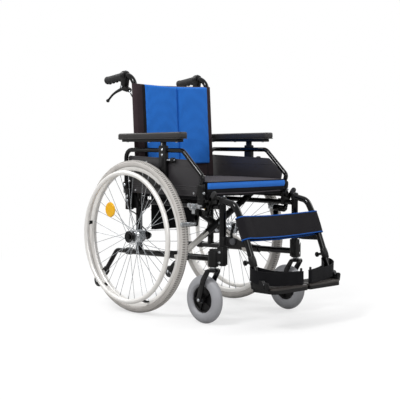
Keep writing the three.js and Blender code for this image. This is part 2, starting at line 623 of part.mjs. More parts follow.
function sideGuard() {
  const off = arm.tube / 2 + guard.clear;
  const run = new THREE.Vector2(arm.kneeY - arm.topFrontY, kneeZ - armTopZ).normalize();
  const slantY = (z) => arm.topFrontY + ((z - armTopZ) / run.y) * run.x - off / run.y;
  const rear = arm.rearY - off;
  const knee = kneeZ + off;
  const high = armTopZ - off;
  const topZ = armTopZ - guard.topDrop;
  const inside = [
    [rear, high], [slantY(high), high], [slantY(knee), knee],
    [arm.frontY + socket.radius + fit.touch, socket.topZ], [guard.frontBottomY, guard.bottomZ],
    [rear - arm.eyeRadius, guard.bottomZ], [rear - arm.eyeRadius, arm.pivotZ + arm.eyeRadius], [rear, arm.pivotZ + arm.tube],
  ];
  const outline = trimmed(trimmed(inside, [0, 1], topZ), [1, 1], rear + topZ - guard.corner);
  const sheet = prism(outline, "x", guardX, guardX + guard.thickness);
  const pitch = (topZ - guard.bottomZ) / (guard.ribs * 2 + 1);
  const recesses = Array.from({ length: guard.ribs }, (_, i) => {
    const z = guard.bottomZ + pitch * (2 * i + 1);
    return block(guardX - fit.overrun, guardX + guard.ribDepth, guard.frontBottomY + pitch, rear - pitch, z, z + pitch / 2);
  });
  return cut(sheet, recesses);
}

function armPad() {
  const half = pad.width / 2 - pad.round;
  const low = padBottomZ + pad.round;
  const high = padBottomZ + pad.thickness - pad.round;
  const cushionShape = plate([[low, padX - half, pad.round], [low, padX + half, pad.round],
    [high, padX - half, pad.round], [high, padX + half, pad.round]], "y", pad.frontY, pad.rearY);
  const base = block(padX - pad.plateHalf, padX + pad.plateHalf, pad.frontY + pad.plateInset, pad.rearY - pad.plateInset,
    padBottomZ - pad.plateThickness, low);
  const middle = (post.frontY + post.rearY) / 2;
  const bar = block(barX - post.barThickness / 2, barX + post.barThickness / 2,
    middle - post.barWidth / 2, middle + post.barWidth / 2, barBottomZ, padBottomZ);
  return join(cushionShape, base, bar);
}

// Casters: wheel, hub and fork in a group that turns with the stem, and the housing on the upright
function casterTyre() {
  const half = caster.width / 2;
  const inner = caster.rimRadius + fit.touch;
  const round = half / 2;
  const profile = [
    [inner, -half], [caster.radius - round, -half], [caster.radius - round * caster.tuckShare, -half * caster.shoulderShare],
    [caster.radius, -half * caster.crownShare],
  ];
  const mirrored = profile.map(([r, along]) => [r, -along]).reverse();
  return turned([...profile, ...mirrored], "x", [0, caster.trail, caster.radius], facets.caster);
}

function casterHub() {
  const half = caster.hubWidth / 2;
  const web = caster.web / 2;
  const lip = caster.rimRadius - caster.web;
  const profile = [
    [caster.hubBore, -half], [caster.barrel, -half], [caster.barrel, -web], [lip, -web], [lip, -half * caster.lipShare],
    [caster.rimRadius, -half * caster.lipShare],
  ];
  const mirrored = profile.map(([r, along]) => [r, -along]).reverse();
  const body = turned([...profile, ...mirrored], "x", [0, caster.trail, caster.radius], facets.caster / 2);
  const windows = Array.from({ length: caster.windows }, (_, i) => {
    const turn = (i / caster.windows) * 2 * Math.PI;
    const y = caster.trail + caster.windowCircle * Math.sin(turn);
    const z = caster.radius + caster.windowCircle * Math.cos(turn);
    return rod([-caster.web, y, z], [caster.web, y, z], caster.windowRadius, facets.small);
  });
  return cut(body, windows);
}

function casterFork() {
  const half = caster.width / 2 + fork.legGap;
  const outer = half + fork.legThickness;
  const legs = [-1, 1].map((s) => plate(
    [[-fork.legWidth / 4, fork.crownTopZ - fork.legWidth / 2, fork.legWidth / 2], [caster.trail, caster.radius, fork.eyeRadius]],
    "x", Math.min(s * half, s * outer), Math.max(s * half, s * outer)));
  const crown = plate([[-outer + fork.legThickness, 0, fork.legThickness], [outer - fork.legThickness, 0, fork.legThickness],
    [0, 0, fork.crownHalf]], "z", fork.crownBottomZ, fork.crownTopZ);
  const collar = rod([0, 0, fork.crownTopZ], [0, 0, housing.bottomZ - fit.turn], fork.collarRadius, facets.corner);
  const stem = rod([0, 0, fork.crownBottomZ], [0, 0, fork.stemTopZ], fork.stemRadius, facets.corner);
  const reach = outer + fork.boltHeadThickness;
  const bolt = rod([-reach, caster.trail, caster.radius], [reach, caster.trail, caster.radius], caster.axleRadius, facets.small);
  const heads = [-1, 1].map((s) => rod([s * outer, caster.trail, caster.radius], [s * reach, caster.trail, caster.radius],
    fork.boltHead, facets.small));
  return join(legs, crown, collar, stem, bolt, heads);
}

function casterHousing() {
  const h = housing;
  const x = frame.halfWidth;
  const body = rod([stemX, caster.stemY, h.bottomZ], [stemX, caster.stemY, h.topZ], h.radius, facets.hub);
  const cap = rod([stemX, caster.stemY, h.topZ], [stemX, caster.stemY, h.topZ + h.capHeight], h.capRadius);
  const clamp = plate([[x, frame.frontY, h.clampRadius], [stemX, caster.stemY, h.capRadius]],
    "z", h.clampBottomZ, h.clampTopZ - (h.clampTopZ - h.topZ) / 2);
  const ring = rod([x, frame.frontY, h.clampBottomZ], [x, frame.frontY, h.clampTopZ], h.clampRadius, facets.hub);
  const bolts = [h.clampBottomZ + h.boltInset, h.clampTopZ - h.boltInset].map((z) => rod(
    [x + h.clampRadius / 2, frame.frontY, z], [x + h.clampRadius / 2, frame.frontY - h.clampRadius - h.boltOut, z],
    h.boltRadius, facets.small));
  return cut(
    join(body, cap, clamp, ring, bolts),
    rod([x, frame.frontY, frame.bottomZ - fit.overrun], [x, frame.frontY, frame.frontTopZ], frame.upright / 2 + fit.touch),
    rod([x, frame.frontY, frame.lowerFrontZ], [x, bush.frontY, lowerAt(bush.frontY)], frame.tube / 2 + fit.touch),
    rod([stemX, caster.stemY, h.bottomZ - fit.overrun], [stemX, caster.stemY, h.boreTopZ],
      fork.stemRadius + fit.turn, facets.turn),
  );
}

// Wheel lock: plate on the side rail, hand lever and shoe
function lockBracket() {
  const end = lockX + lock.plateThickness;
  const reach = lock.headRadius * 2;
  const body = plate([[lockPivotY, lock.pivotZ, reach], [shoeY, lock.shoeZ - reach / 2, reach]], "x", lockX, end);
  const tab = block(lockX, end, barY - lock.tabAhead, tabRearY, lock.shoeZ - reach, lock.tabTopZ);
  const pins = [[lockPivotY, lock.pivotZ], [shoeY, lock.shoeZ]].flatMap(([y, z]) => [
    rod([lockX, y, z], [lockPinX, y, z], lock.pinRadius, facets.small),
    rod([lockPinX - lock.headThickness + fit.turn, y, z], [lockPinX + fit.turn, y, z], lock.headRadius, facets.small),
  ]);
  const bars = [0, 1].map((i) => {
    const at = [tabRearY - lock.headRadius, lock.tabTopZ - lock.headRadius * (1 + 2 * i)];
    return rod([end, ...at], [lockPinX, ...at], lock.pinRadius, facets.small);
  });
  return join(body, tab, pins, bars);
}

function lockLever() {
  const root = [lockPivotY, lock.pivotZ, lock.headRadius + fit.overrun];
  const knee = [barY - lock.kneeAhead, lock.handleKneeZ, lock.handleKneeRadius];
  const end = [barY - lock.endAhead, lock.handleEndZ, lock.handleEndRadius];
  const body = blade([root, knee, end], "x", bladeX, bladeX + lock.bladeThickness);
  return cut(body, rod([lockX, lockPivotY, lock.pivotZ], [lockBarX, lockPivotY, lock.pivotZ],
    lock.pinRadius + fit.turn));
}

function lockShoe() {
  const root = [shoeY, lock.shoeZ, lock.headRadius + fit.overrun];
  const knee = [barY - lock.shoeKneeAhead, lock.shoeKneeZ, lock.shoeKneeRadius];
  const end = [barY, lock.barZ, lock.shoeEndRadius];
  const body = blade([root, knee, end], "x", bladeX, bladeX + lock.bladeThickness);
  const bar = rod([bladeX, barY, lock.barZ], [lockBarX, barY, lock.barZ], lock.barRadius);
  return cut(join(body, bar), rod([lockX, shoeY, lock.shoeZ], [lockBarX, shoeY, lock.shoeZ],
    lock.pinRadius + fit.turn));
}

// Leg rest: hanger on the front upright, latch, sliding extension, foot plate, heel loop
const hangerRoute = [
  [frame.halfWidth, frame.frontY, leg.tubeZ], [frame.halfWidth, leg.kneeY, leg.kneeZ],
  [frame.halfWidth, leg.topY, leg.topZ], [frame.halfWidth, leg.endY, leg.endZ],
];
const legDown = new THREE.Vector2(leg.endY - leg.topY, leg.endZ - leg.topZ).normalize();
const legAt = (along) => [frame.halfWidth, leg.endY + along * legDown.x, leg.endZ + along * legDown.y];
const legYAt = (z) => leg.endY + ((z - leg.endZ) / legDown.y) * legDown.x;

function hanger() {
  const x = frame.halfWidth;
  const uprightRadius = frame.upright / 2 + fit.turn;
  const collar = rod([x, frame.frontY, frame.frontTopZ + fit.touch], [x, frame.frontY, leg.collarTopZ], leg.collarRadius);
  const pin = rod([x, frame.frontY, frame.frontTopZ - leg.pinLength], [x, frame.frontY, leg.tubeZ], leg.pinRadius);
  const seat = rod([x, frame.frontY, frame.frontTopZ - leg.pinLength], [x, frame.frontY, frame.frontTopZ + fit.touch],
    uprightRadius, facets.turn);
  const tube = cut(pipe(hangerRoute, leg.tube / 2, leg.bendRadius), seat);
  const cuff = rod([x, frame.frontY, leg.cuffBottomZ], [x, frame.frontY, leg.cuffTopZ], uprightRadius + leg.cuffWall);
  const behind = block(x - leg.tube, x + leg.tube, frame.frontY, frame.frontY + leg.tube,
    leg.cuffBottomZ - fit.overrun, leg.cuffTopZ + fit.overrun);
  const inside = rod([x, frame.frontY, leg.cuffBottomZ - fit.overrun], [x, frame.frontY, leg.cuffTopZ + fit.overrun], uprightRadius,
    facets.turn);
  const disc = plate([[frame.frontY - uprightRadius - leg.cuffWall / 2, leg.discZ, (leg.cuffTopZ - leg.cuffBottomZ) / 2],
    [leg.discY, leg.discZ, leg.discRadius], [legYAt(leg.neckZ), leg.neckZ, leg.plateHalf * 2]],
  "x", x - leg.plateHalf, x + leg.plateHalf);
  const latchPin = rod([x, latch.pivotY, latch.pivotZ], [latchX + latch.thickness + fit.turn, latch.pivotY, latch.pivotZ],
    latch.pinRadius, facets.small);
  const arch = cut(join(cuff, disc), behind, inside);
  const bore = rod(legAt(-leg.boreLength), legAt(fit.overrun), extension.tube / 2 + fit.slide);
  return cut(join(collar, pin, tube, arch, latchPin, knob()), bore);
}

// Boss and T screw that clamp the extension
function knob() {
  const k = clampKnob;
  const across = [-legDown.y, legDown.x];
  const base = legAt(-k.bossLength / 2);
  const out = (d) => [base[0], base[1] + across[0] * d, base[2] + across[1] * d - k.drop * (d / k.length)];
  const tip = out(k.length);
  return join(
    rod(legAt(-k.bossLength), legAt(0), k.bossRadius),
    rod(base, tip, k.shankRadius, facets.small),
    rod([tip[0] - k.barHalf, tip[1], tip[2]], [tip[0] + k.barHalf, tip[1], tip[2]], k.barRadius, facets.small),
  );
}

function hangerLatch() {
  const route = [[latch.pivotY, latch.pivotZ, latch.eyeRadius], [latch.kneeY, latch.kneeZ, latch.kneeRadius],
    [latch.tipY, latch.tipZ, latch.tipRadius]];
  const body = blade(route, "x", latchX, latchX + latch.thickness);
  return cut(body, rod([frame.halfWidth, latch.pivotY, latch.pivotZ],
    [frame.halfWidth + leg.tube, latch.pivotY, latch.pivotZ], latch.pinRadius + fit.turn));
}

function footExtension() {
  const x = frame.halfWidth;
  const e = extension;
  const drop = (leg.endZ - e.blockTopZ) / -legDown.y;
  const tube = rod(legAt(-e.engaged), legAt(drop + e.tube / 2), e.tube / 2);
  const low = e.blockBottomZ + e.blockHalf;
  const body = plate([[e.blockFrontY + e.blockHalf, low, e.blockHalf], [e.blockRearY - e.blockHalf, low, e.blockHalf],
    [e.blockFrontY + e.blockHalf * 2, e.blockTopZ - e.blockHalf, e.blockHalf],
    [e.blockRearY - e.blockHalf, e.blockTopZ - e.blockHalf, e.blockHalf]], "x", x - e.blockHalf, x + e.blockHalf);
  const pin = rod([x, e.blockFrontY - foot.lugWidth, foot.pinZ], [x, e.blockRearY + foot.lugWidth, foot.pinZ], foot.pinRadius);
  return join(tube, body, pin);
}

function footPlate() {
  const x = frame.halfWidth;
  const f = foot;
  const c = f.corner;
  const corners = (inset, low) => [
    [footInnerX + c + low, f.rearY - c, c - inset], [footOuterX - c, f.rearY - c, c - inset],
    [footOuterX - f.bigCorner, f.frontY + f.bigCorner, f.bigCorner - inset], [footInnerX + c + low, f.frontY + c, c - inset],
  ];
  const slab = plate(corners(0, 0), "z", f.topZ - f.slab, f.topZ);
  const lipOuter = plate(corners(0, footLipX - footInnerX), "z", f.lipZ, f.topZ - f.slab / 2);
  const within = c + f.lip;
  const pocket = plate([[footLipX + within, f.rearY - within, c], [footOuterX - within, f.rearY - within, c],
    [footOuterX - f.bigCorner, f.frontY + f.bigCorner, f.bigCorner - f.lip], [footLipX + within, f.frontY + within, c]],
  "z", f.lipZ - fit.overrun, f.topZ - f.slab + fit.touch);
  const pitch = (notchX - footLipX) / (f.ribs + 1);
  const ribs = Array.from({ length: f.ribs }, (_, i) => {
    const at = footLipX + pitch * (i + 1);
    return block(at - f.ribThickness / 2, at + f.ribThickness / 2, f.frontY + f.lip / 2, f.rearY - f.lip / 2,
      f.lipZ, f.topZ - f.slab / 2);
  });
  const notch = block(notchX, x + footOuterX, extension.blockFrontY - fit.turn, extension.blockRearY + fit.turn,
    f.lipZ - fit.overrun, f.topZ + fit.overrun);
  const root = f.slab / 3;
  const middleZ = f.topZ - f.slab / 2;
  const lugs = [[extension.blockFrontY - fit.turn - f.lugWidth, extension.blockFrontY - fit.turn],
    [extension.blockRearY + fit.turn, extension.blockRearY + fit.turn + f.lugWidth]].map(([from, to]) => plate(
    [[f.pinZ, x, f.eyeRadius], [middleZ, x - f.eyeRadius, root], [middleZ, footOuterX - root, root]], "y", from, to));
  const pin = rod([x, f.frontY, f.pinZ], [x, f.rearY + f.lip, f.pinZ], f.pinRadius + fit.turn);
  const holder = rod([footInnerX + c, f.frontY + c * 3, f.topZ - f.slab / 2],
    [footInnerX + c, f.frontY + c * 3, heel.bottomZ + heel.height], f.postRadius, facets.small);
  return join(cut(join(cut(join(slab, lipOuter), pocket), ribs, lugs), notch, pin), holder);
}

// Heel loop: a webbing band from the inner post of the foot plate round behind the leg tube
function heelLoop() {
  const x = frame.halfWidth;
  const f = foot;
  const startX = footInnerX + f.corner + f.postRadius + heel.thickness;
  const startY = f.frontY + f.corner * 3;
  const middleZ = heel.bottomZ + heel.height / 2;
  const backY = extension.blockRearY + f.lugWidth + heel.thickness + fit.turn * 2;
  const centre = [
    [startX, startY], [(startX + x) / 2 - heel.wrap, (startY + backY) / 2 + heel.wrap], [x - heel.wrap, backY - fit.overrun],
    [x + heel.wrap / 2, backY - fit.turn], [x + heel.wrap, backY - heel.wrap], [x + heel.wrap, backY - heel.wrap * 2],
  ];
  const curve = new THREE.CatmullRomCurve3(centre.map(([cx, cy]) => new THREE.Vector3(cx, cy, middleZ)));
  const inner = [];
  const outer = [];
  for (let i = 0; i <= facets.loop; i++) {
    const at = curve.getPoint(i / facets.loop);
    const along = curve.getTangent(i / facets.loop);
    const normal = new THREE.Vector2(-along.y, along.x).multiplyScalar(heel.thickness / 2);
    inner.push(new THREE.Vector2(at.x - normal.x, at.y - normal.y));
    outer.unshift(new THREE.Vector2(at.x + normal.x, at.y + normal.y));
  }
  return prism([...inner, ...outer], "z", heel.bottomZ, heel.bottomZ + heel.height);
}

// Anti-tipper: tube in the lower frame tube, and its wheel
function antiTipTube() {
  const x = frame.halfWidth;
  const a = antiTip;
  const route = [[x, a.startY, lowerAt(a.startY)], [x, a.bendY, lowerAt(a.bendY)], [x, a.lowY, a.lowZ]];
  const inner = a.wheelWidth / 2 + fit.turn;
  const outer = inner + a.cheek;
  const fold = [a.lowY - a.eyeRadius / 2, a.lowZ + a.eyeRadius / 2, a.eyeRadius];
  const back = [a.lowY - a.eyeRadius, a.lowZ + a.eyeRadius, a.eyeRadius];
  const cheeks = [-1, 1].map((s) => plate([fold, [a.wheelY, a.wheelZ, a.eyeRadius]],
    "x", x + Math.min(s * inner, s * outer), x + Math.max(s * inner, s * outer)));
  const bridge = plate([back, fold], "x", x - outer, x + outer);
  const pin = rod([x - outer, a.wheelY, a.wheelZ], [x + outer, a.wheelY, a.wheelZ], a.axleRadius, facets.small);
  return join(pipe(route, a.tube / 2, a.bendRadius), cheeks, bridge, pin);
}

function antiTipWheel() {
  const a = antiTip;
  const half = a.wheelWidth / 2;
  const round = half / 2;
  const profile = [[a.axleRadius + fit.turn, -half], [a.wheelRadius - round, -half], [a.wheelRadius, -round],
    [a.wheelRadius, round], [a.wheelRadius - round, half], [a.axleRadius + fit.turn, half]];
  return turned(profile, "x", [frame.halfWidth, a.wheelY, a.wheelZ], facets.hub);
}

// Cross brace: one arm of the scissor with its seat rail, rising towards +X in the plane y
function braceArm(y, withPin) {
  const x = frame.halfWidth;
  const low = new THREE.Vector3(-x, y, braceLowZ);
  const high = new THREE.Vector3(x, y, brace.railZ);
  const along = high.clone().sub(low).normalize();
  const at = (d) => low.clone().addScaledVector(along, d).toArray();
  const length = high.distanceTo(low);
  const half = brace.pivotLength / 2;
  const eye = rod([-x, y - half, braceLowZ], [-x, y + half, braceLowZ], brace.pivotSleeve, facets.turn);
  const tube = rod(at(0), at(length / 2), brace.tube / 2);
  const sleeve = rod(at(length / 2 - brace.sleeveStart), at(length - brace.rail / 3), brace.sleeve / 2);
  const rail = rod([x, brace.railFrontY, brace.railZ], [x, brace.railRearY, brace.railZ], brace.rail / 2);
  const bore = rod([-x, y - half - fit.overrun, braceLowZ], [-x, y + half + fit.overrun, braceLowZ],
    bush.radius + fit.turn, facets.turn);
  const body = cut(join(eye, tube, sleeve, rail), bore);
  if (!withPin) {
    const reach = brace.sleeve;
    return cut(body, rod([0, y - reach, braceMiddleZ], [0, y + reach, braceMiddleZ], brace.pinRadius + fit.turn));
  }
  const rearFace = brace.rearY + brace.sleeve / 2 + fit.turn;
  const frontFace = brace.frontY - brace.sleeve / 2;
  return join(
    body,
    rod([0, frontFace - brace.headThickness, braceMiddleZ], [0, rearFace + brace.headThickness, braceMiddleZ], brace.pinRadius),
    rod([0, frontFace - brace.headThickness, braceMiddleZ], [0, frontFace + brace.headThickness, braceMiddleZ], brace.pinHead),
    rod([0, rearFace, braceMiddleZ], [0, rearFace + brace.headThickness, braceMiddleZ], brace.pinHead),
  );
}

// A closed skin over a grid of points, given as rows from front to back, top and bottom
function skin(columns, rows, top, bottom) {
  const positions = [];
  const index = [];
  const stride = columns + 1;
  for (const surface of [top, bottom]) {
    for (let j = 0; j <= rows; j++) {
      for (let i = 0; i <= columns; i++) positions.push(...surface(i / columns, j / rows));
    }
  }
  const lower = stride * (rows + 1);
  for (let j = 0; j < rows; j++) {
    for (let i = 0; i < columns; i++) {
      const a = j * stride + i;
      index.push(a, a + 1, a + stride, a + 1, a + stride + 1, a + stride);
      index.push(lower + a, lower + a + stride, lower + a + 1, lower + a + 1, lower + a + stride, lower + a + stride + 1);
    }
  }
  const edge = (a, b) => index.push(a, lower + a, b, b, lower + a, lower + b);
  for (let i = 0; i < columns; i++) {
    edge(i, i + 1);
    edge(rows * stride + i + 1, rows * stride + i);
  }
  for (let j = 0; j < rows; j++) {
    edge((j + 1) * stride, j * stride);
    edge(j * stride + columns, (j + 1) * stride + columns);
  }
  const geometry = new THREE.BufferGeometry();
  geometry.setAttribute("position", new THREE.Float32BufferAttribute(positions, 3));
  geometry.setIndex(index);
  return solid(geometry);
}

// Seat cushion: crowned top, rounded drawn-in sides
function seatCushion() {
  const c = cushion;
  const depth = c.rearY - c.frontY;
  const halfWidth = frame.halfWidth + c.overhang;
  const swell = (s) => Math.pow(4 * s * (1 - s), c.edgeShare);
  const place = (i, j) => {
    const s = (1 - Math.cos(Math.PI * i)) / 2;
    const t = (1 - Math.cos(Math.PI * j)) / 2;
    return { s, t, x: halfWidth * (2 * s - 1), y: c.frontY + depth * t };
  };
  const middle = (c.bottomZ + c.topZ) / 2;
  const top = (i, j) => {
    const p = place(i, j);
    const rise = swell(p.s) * swell(p.t);
    return [p.x, p.y, middle + (c.topZ - middle) * rise + c.crown * Math.sin(Math.PI * p.s) * Math.sin(Math.PI * p.t)];
  };
  const bottom = (i, j) => {
    const p = place(i, j);
    const rise = swell(p.s) * swell(p.t);
    const sag = sling.sag * Math.max(0, 1 - Math.abs(p.x) / frame.halfWidth);
    return [p.x, p.y, middle - (middle - c.bottomZ + sag) * rise - fit.touch];
  };
  return skin(facets.cushionAcross, facets.cushionDeep, top, bottom);
}

// Seat sling: a sheet that sags between two sleeves on the seat rails
function seatSling() {
  const x = frame.halfWidth;
  const outer = brace.rail / 2 + fit.touch + sling.wall;
  const inner = brace.rail / 2 + fit.touch;
  const sleeves = [-x, x].map((side) => rod([side, sling.frontY, brace.railZ], [side, sling.rearY, brace.railZ], outer));
  const topZ = cushion.bottomZ - fit.touch * 2;
  const sheet = prism([[topZ - sling.thickness, -x], [topZ - sling.thickness - sling.sag, 0], [topZ - sling.thickness, x],
    [topZ, x], [topZ - sling.sag, 0], [topZ, -x]], "y", sling.frontY, sling.rearY);
  const bores = [-x, x].map((side) => rod(
    [side, sling.frontY - fit.overrun, brace.railZ], [side, sling.rearY + fit.overrun, brace.railZ], inner));
  const slope = new THREE.Vector2(x * 2, brace.railZ - braceLowZ).normalize().multiplyScalar(brace.sleeve * 2);
  const arms = [[1, brace.frontY], [-1, brace.rearY]].map(([side, y]) => rod(
    [side * (x - slope.x), y, brace.railZ - slope.y], [side * x, y, brace.railZ], brace.sleeve / 2 + fit.turn));
  return cut(join(sleeves, sheet), bores, arms);
}

// Back cover: a padded panel with a sleeve on each cane, and the pouch under it
function backCover() {
  const x = frame.halfWidth;
  const c = cover;
  const radius = cane.tube / 2 + fit.touch + c.wall;
  const yAt = (z) => frame.rearY + ((z - cane.leanZ) / (cane.topZ - cane.leanZ)) * (cane.topY - frame.rearY);
  const topZ = cane.topZ - c.topDrop;
  const sleeves = [-x, x].map((side) => rod([side, yAt(c.bottomZ), c.bottomZ], [side, yAt(topZ), topZ], radius));
  const panel = skin(facets.coverAcross, facets.coverUp,
    (i, j) => {
      const z = c.bottomZ + (topZ - c.bottomZ) * j;
      const seam = i * 2 === 1 ? c.channel : 0;
      const bulge = Math.pow(Math.sin(Math.PI * i), c.edgeShare) * (c.depth - c.front) - seam;
      return [x * (2 * i - 1), yAt(z) - c.front / 2 - bulge, z];
    },
    (i, j) => {
      const z = c.bottomZ + (topZ - c.bottomZ) * j;
      return [x * (2 * i - 1), yAt(z) + radius / 2, z];
    });
  const pouch = block(c.pouchInset - x, x - c.pouchInset, frame.rearY, frame.rearY + c.pouchDepth, c.pouchBottomZ, c.bottomZ + c.pouchDepth);
  const bores = [-1, 1].map((side) => pipe(caneRoute.map(([cx, cy, cz]) => [side * cx, cy, cz]),
    cane.tube / 2 + fit.touch, cane.bendRadius));
  return cut(join(sleeves, panel, pouch), bores);
}

// Calf strap: one band round both leg tubes, bowed back between them
function calfStrap() {
  const x = frame.halfWidth;
  const inner = leg.tube / 2 + calf.clear;
  const outer = inner + calf.wall;
  const ends = (r, bow) => {
    const points = [];
    const steps = facets.strap;
    for (let i = 0; i <= steps; i++) {
      const turn = Math.PI / 2 - (Math.PI * i) / steps;
      points.push([x + r * Math.cos(turn), r * Math.sin(turn)]);
    }
    for (let i = 1; i < steps; i++) {
      const share = i / steps;
      points.push([x * (1 - 2 * share), -r + bow * Math.sin(Math.PI * share)]);
    }
    for (let i = 0; i <= steps; i++) {
      const turn = -Math.PI / 2 - (Math.PI * i) / steps;
      points.push([-x + r * Math.cos(turn), r * Math.sin(turn)]);
    }
    for (let i = 1; i < steps; i++) {
      const share = i / steps;
      points.push([-x * (1 - 2 * share), r + calf.bow * Math.sin(Math.PI * share)]);
    }
    return points.reverse().map(([u, v]) => new THREE.Vector2(u, v));
  };
  const run = Math.hypot(leg.endY - leg.topY, leg.endZ - leg.topZ);
  const from = -run * calf.topShare;
  const to = -run * calf.bottomShare;
  const shape = new THREE.Shape(ends(outer, calf.bow));
  shape.holes.push(new THREE.Path(ends(inner, calf.bow)));
  const geometry = new THREE.ExtrudeGeometry(shape, { depth: to - from, bevelEnabled: false });
  const down = new THREE.Vector3(0, legDown.x, legDown.y);
  const across = new THREE.Vector3(1, 0, 0);
  geometry.applyMatrix4(new THREE.Matrix4().makeBasis(across, down.clone().cross(across), down));
  return solid(geometry.translate(0, legAt(from)[1], legAt(from)[2]));
}

const looks = {
  frame: { color: 0x17181a, roughness: 0.25, metalness: 0.2 },
  plastic: { color: 0x1c1c1e, roughness: 0.55, metalness: 0 },
  rubber: { color: 0xb9b9b6, roughness: 0.7, metalness: 0 },
  casterRubber: { color: 0x8f9196, roughness: 0.6, metalness: 0 },
  steel: { color: 0xc9cbcd, roughness: 0.3, metalness: 0.9 },
  fabric: { color: 0x2a2a2d, roughness: 0.9, metalness: 0 },
  blue: { color: 0x2a62ad, roughness: 0.9, metalness: 0 },
};

function piece(name, body, look) {
  const mesh = new THREE.Mesh(geometryOf(body), new THREE.MeshStandardMaterial(looks[look]));
  mesh.name = name;
  return mesh;
}

// What each side has, as name, maker and look
const fixedPieces = [
  ["side_frame", sideFrame, "frame"], ["back_cane", backCane, "frame"], ["push_grip", pushGrip, "plastic"],
  ["brake_lever", brakeLever, "plastic"], ["brake_cable", brakeCable, "plastic"],
  ["armrest_hoop", armHoop, "frame"], ["side_guard", sideGuard, "plastic"], ["armrest_pad", armPad, "plastic"],
  ["rear_tyre", rearTyre, "rubber"], ["rear_wheel", rearRim, "steel"], ["push_rim", pushRim, "steel"],
  ["axle_and_brake", axleAndBrake, "steel"], ["axle_button", axleButton, "steel"],
  ["caster_housing", casterHousing, "frame"],
  ["lock_bracket", lockBracket, "steel"], ["lock_lever", lockLever, "plastic"], ["lock_shoe", lockShoe, "plastic"],
  ["hanger", hanger, "frame"], ["hanger_latch", hangerLatch, "plastic"], ["foot_extension", footExtension, "frame"],
  ["foot_plate", footPlate, "plastic"], ["heel_loop", heelLoop, "fabric"],
  ["anti_tip_tube", antiTipTube, "frame"], ["anti_tip_wheel", antiTipWheel, "plastic"],
].map(([name, make, look]) => [name, make(), look]);
const casterPieces = [
  ["caster_tyre", casterTyre, "casterRubber"], ["caster_hub", casterHub, "plastic"], ["caster_fork", casterFork, "frame"],
].map(([name, make, look]) => [name, make(), look]);

const chair = new THREE.Group();
for (const [side, sign] of [["left", 1], ["right", -1]]) {
  const half = new THREE.Group();
  half.scale.x = sign;
  for (const [name, body, look] of fixedPieces) half.add(piece(`${side}_${name}`, body, look));
  const swivel = new THREE.Group();
  swivel.position.set(stemX, caster.stemY, 0);
  swivel.rotation.z = sign * caster.yaw[side] * deg;
  for (const [name, body, look] of casterPieces) swivel.add(piece(`${side}_${name}`, body, look));
  half.add(swivel);
  chair.add(half);
}
chair.add(piece("brace_a", braceArm(brace.frontY, true), "frame"));
const crossed = new THREE.Group();
crossed.scale.x = -1;
crossed.add(piece("brace_b", braceArm(brace.rearY, false), "frame"));
chair.add(crossed);
chair.add(piece("seat_cushion", seatCushion(), "blue"));
chair.add(piece("seat_sling", seatSling(), "fabric"));
chair.add(piece("back_cover", backCover(), "blue"));
chair.add(piece("calf_strap", calfStrap(), "fabric"));

// The origin is on the floor under the middle of the chair's box
chair.updateMatrixWorld(true);
const box = new THREE.Box3().setFromObject(chair, true);
chair.position.y = -(box.min.y + box.max.y) / 2;

export default chair;
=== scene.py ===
import math

import bmesh
import bpy
from mathutils import Matrix, Vector, noise


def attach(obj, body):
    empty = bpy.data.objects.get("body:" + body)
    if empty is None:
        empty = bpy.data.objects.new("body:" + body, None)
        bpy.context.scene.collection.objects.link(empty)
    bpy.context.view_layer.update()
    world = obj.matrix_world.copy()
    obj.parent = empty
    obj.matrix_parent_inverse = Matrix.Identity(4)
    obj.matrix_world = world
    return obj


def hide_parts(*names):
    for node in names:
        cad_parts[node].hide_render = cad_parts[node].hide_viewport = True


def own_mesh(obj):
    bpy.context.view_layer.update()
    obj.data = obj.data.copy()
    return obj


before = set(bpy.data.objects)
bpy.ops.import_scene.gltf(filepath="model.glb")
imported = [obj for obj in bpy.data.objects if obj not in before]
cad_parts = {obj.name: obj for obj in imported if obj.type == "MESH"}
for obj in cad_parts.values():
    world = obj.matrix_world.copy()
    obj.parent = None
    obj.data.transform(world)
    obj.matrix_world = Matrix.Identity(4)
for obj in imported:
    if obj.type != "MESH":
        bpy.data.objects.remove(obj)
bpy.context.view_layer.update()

# In mm, from the middle of the chair's box back to the rear axle, where Y is 0 in the sizes below
shiftY = 169.7716
# Middle of each side frame, and of its front and rear uprights, in mm
frameX, frontY, rearY = 202, -434, 50
print("frame loaded")

studio = {
    "cameraPlace": (-2789.3, -3055.9, 690.9), "cameraLook": (0.68463, 0.72636, -0.06062), "lens": 89.387,
    "worldFront": 0.38, "worldBehind": 1.0, "behind": (0.686, 0.728, 0.0),
    "lamps": [  # place, aimed at, size, power
        ((-2750, -420, 3350), (0, -100, 450), (0.9, 0.8), 76),
        ((-1200, -3300, 1900), (0, -150, 400), (2.2, 1.4), 30),
        ((2600, -1500, 2500), (0, 0, 400), (1.2, 1.2), 28),
        ((-300, 2600, 2900), (0, 0, 500), (2.6, 1.0), 36),
    ],
}


def inMetres(x, y, z):
    return Vector((x, y + shiftY, z)) / 1000


def stand(obj, place, direction):
    obj.location = place
    obj.rotation_euler = Vector(direction).to_track_quat("-Z", "Y").to_euler()
    bpy.context.scene.collection.objects.link(obj)
    return obj


cameraData = bpy.data.cameras.new("camera")
cameraData.lens = studio["lens"]
cameraData.sensor_width = 36.0
cameraData.clip_end = 80
camera = stand(bpy.data.objects.new("camera", cameraData), inMetres(*studio["cameraPlace"]),
               studio["cameraLook"])
bpy.context.scene.camera = camera
bpy.context.scene.view_settings.view_transform = "Standard"


def linear(hexColour):
    shares = [int(hexColour[i:i + 2], 16) / 255 for i in (1, 3, 5)]
    return [c / 12.92 if c <= 0.04045 else ((c + 0.055) / 1.055) ** 2.4 for c in shares] + [1.0]


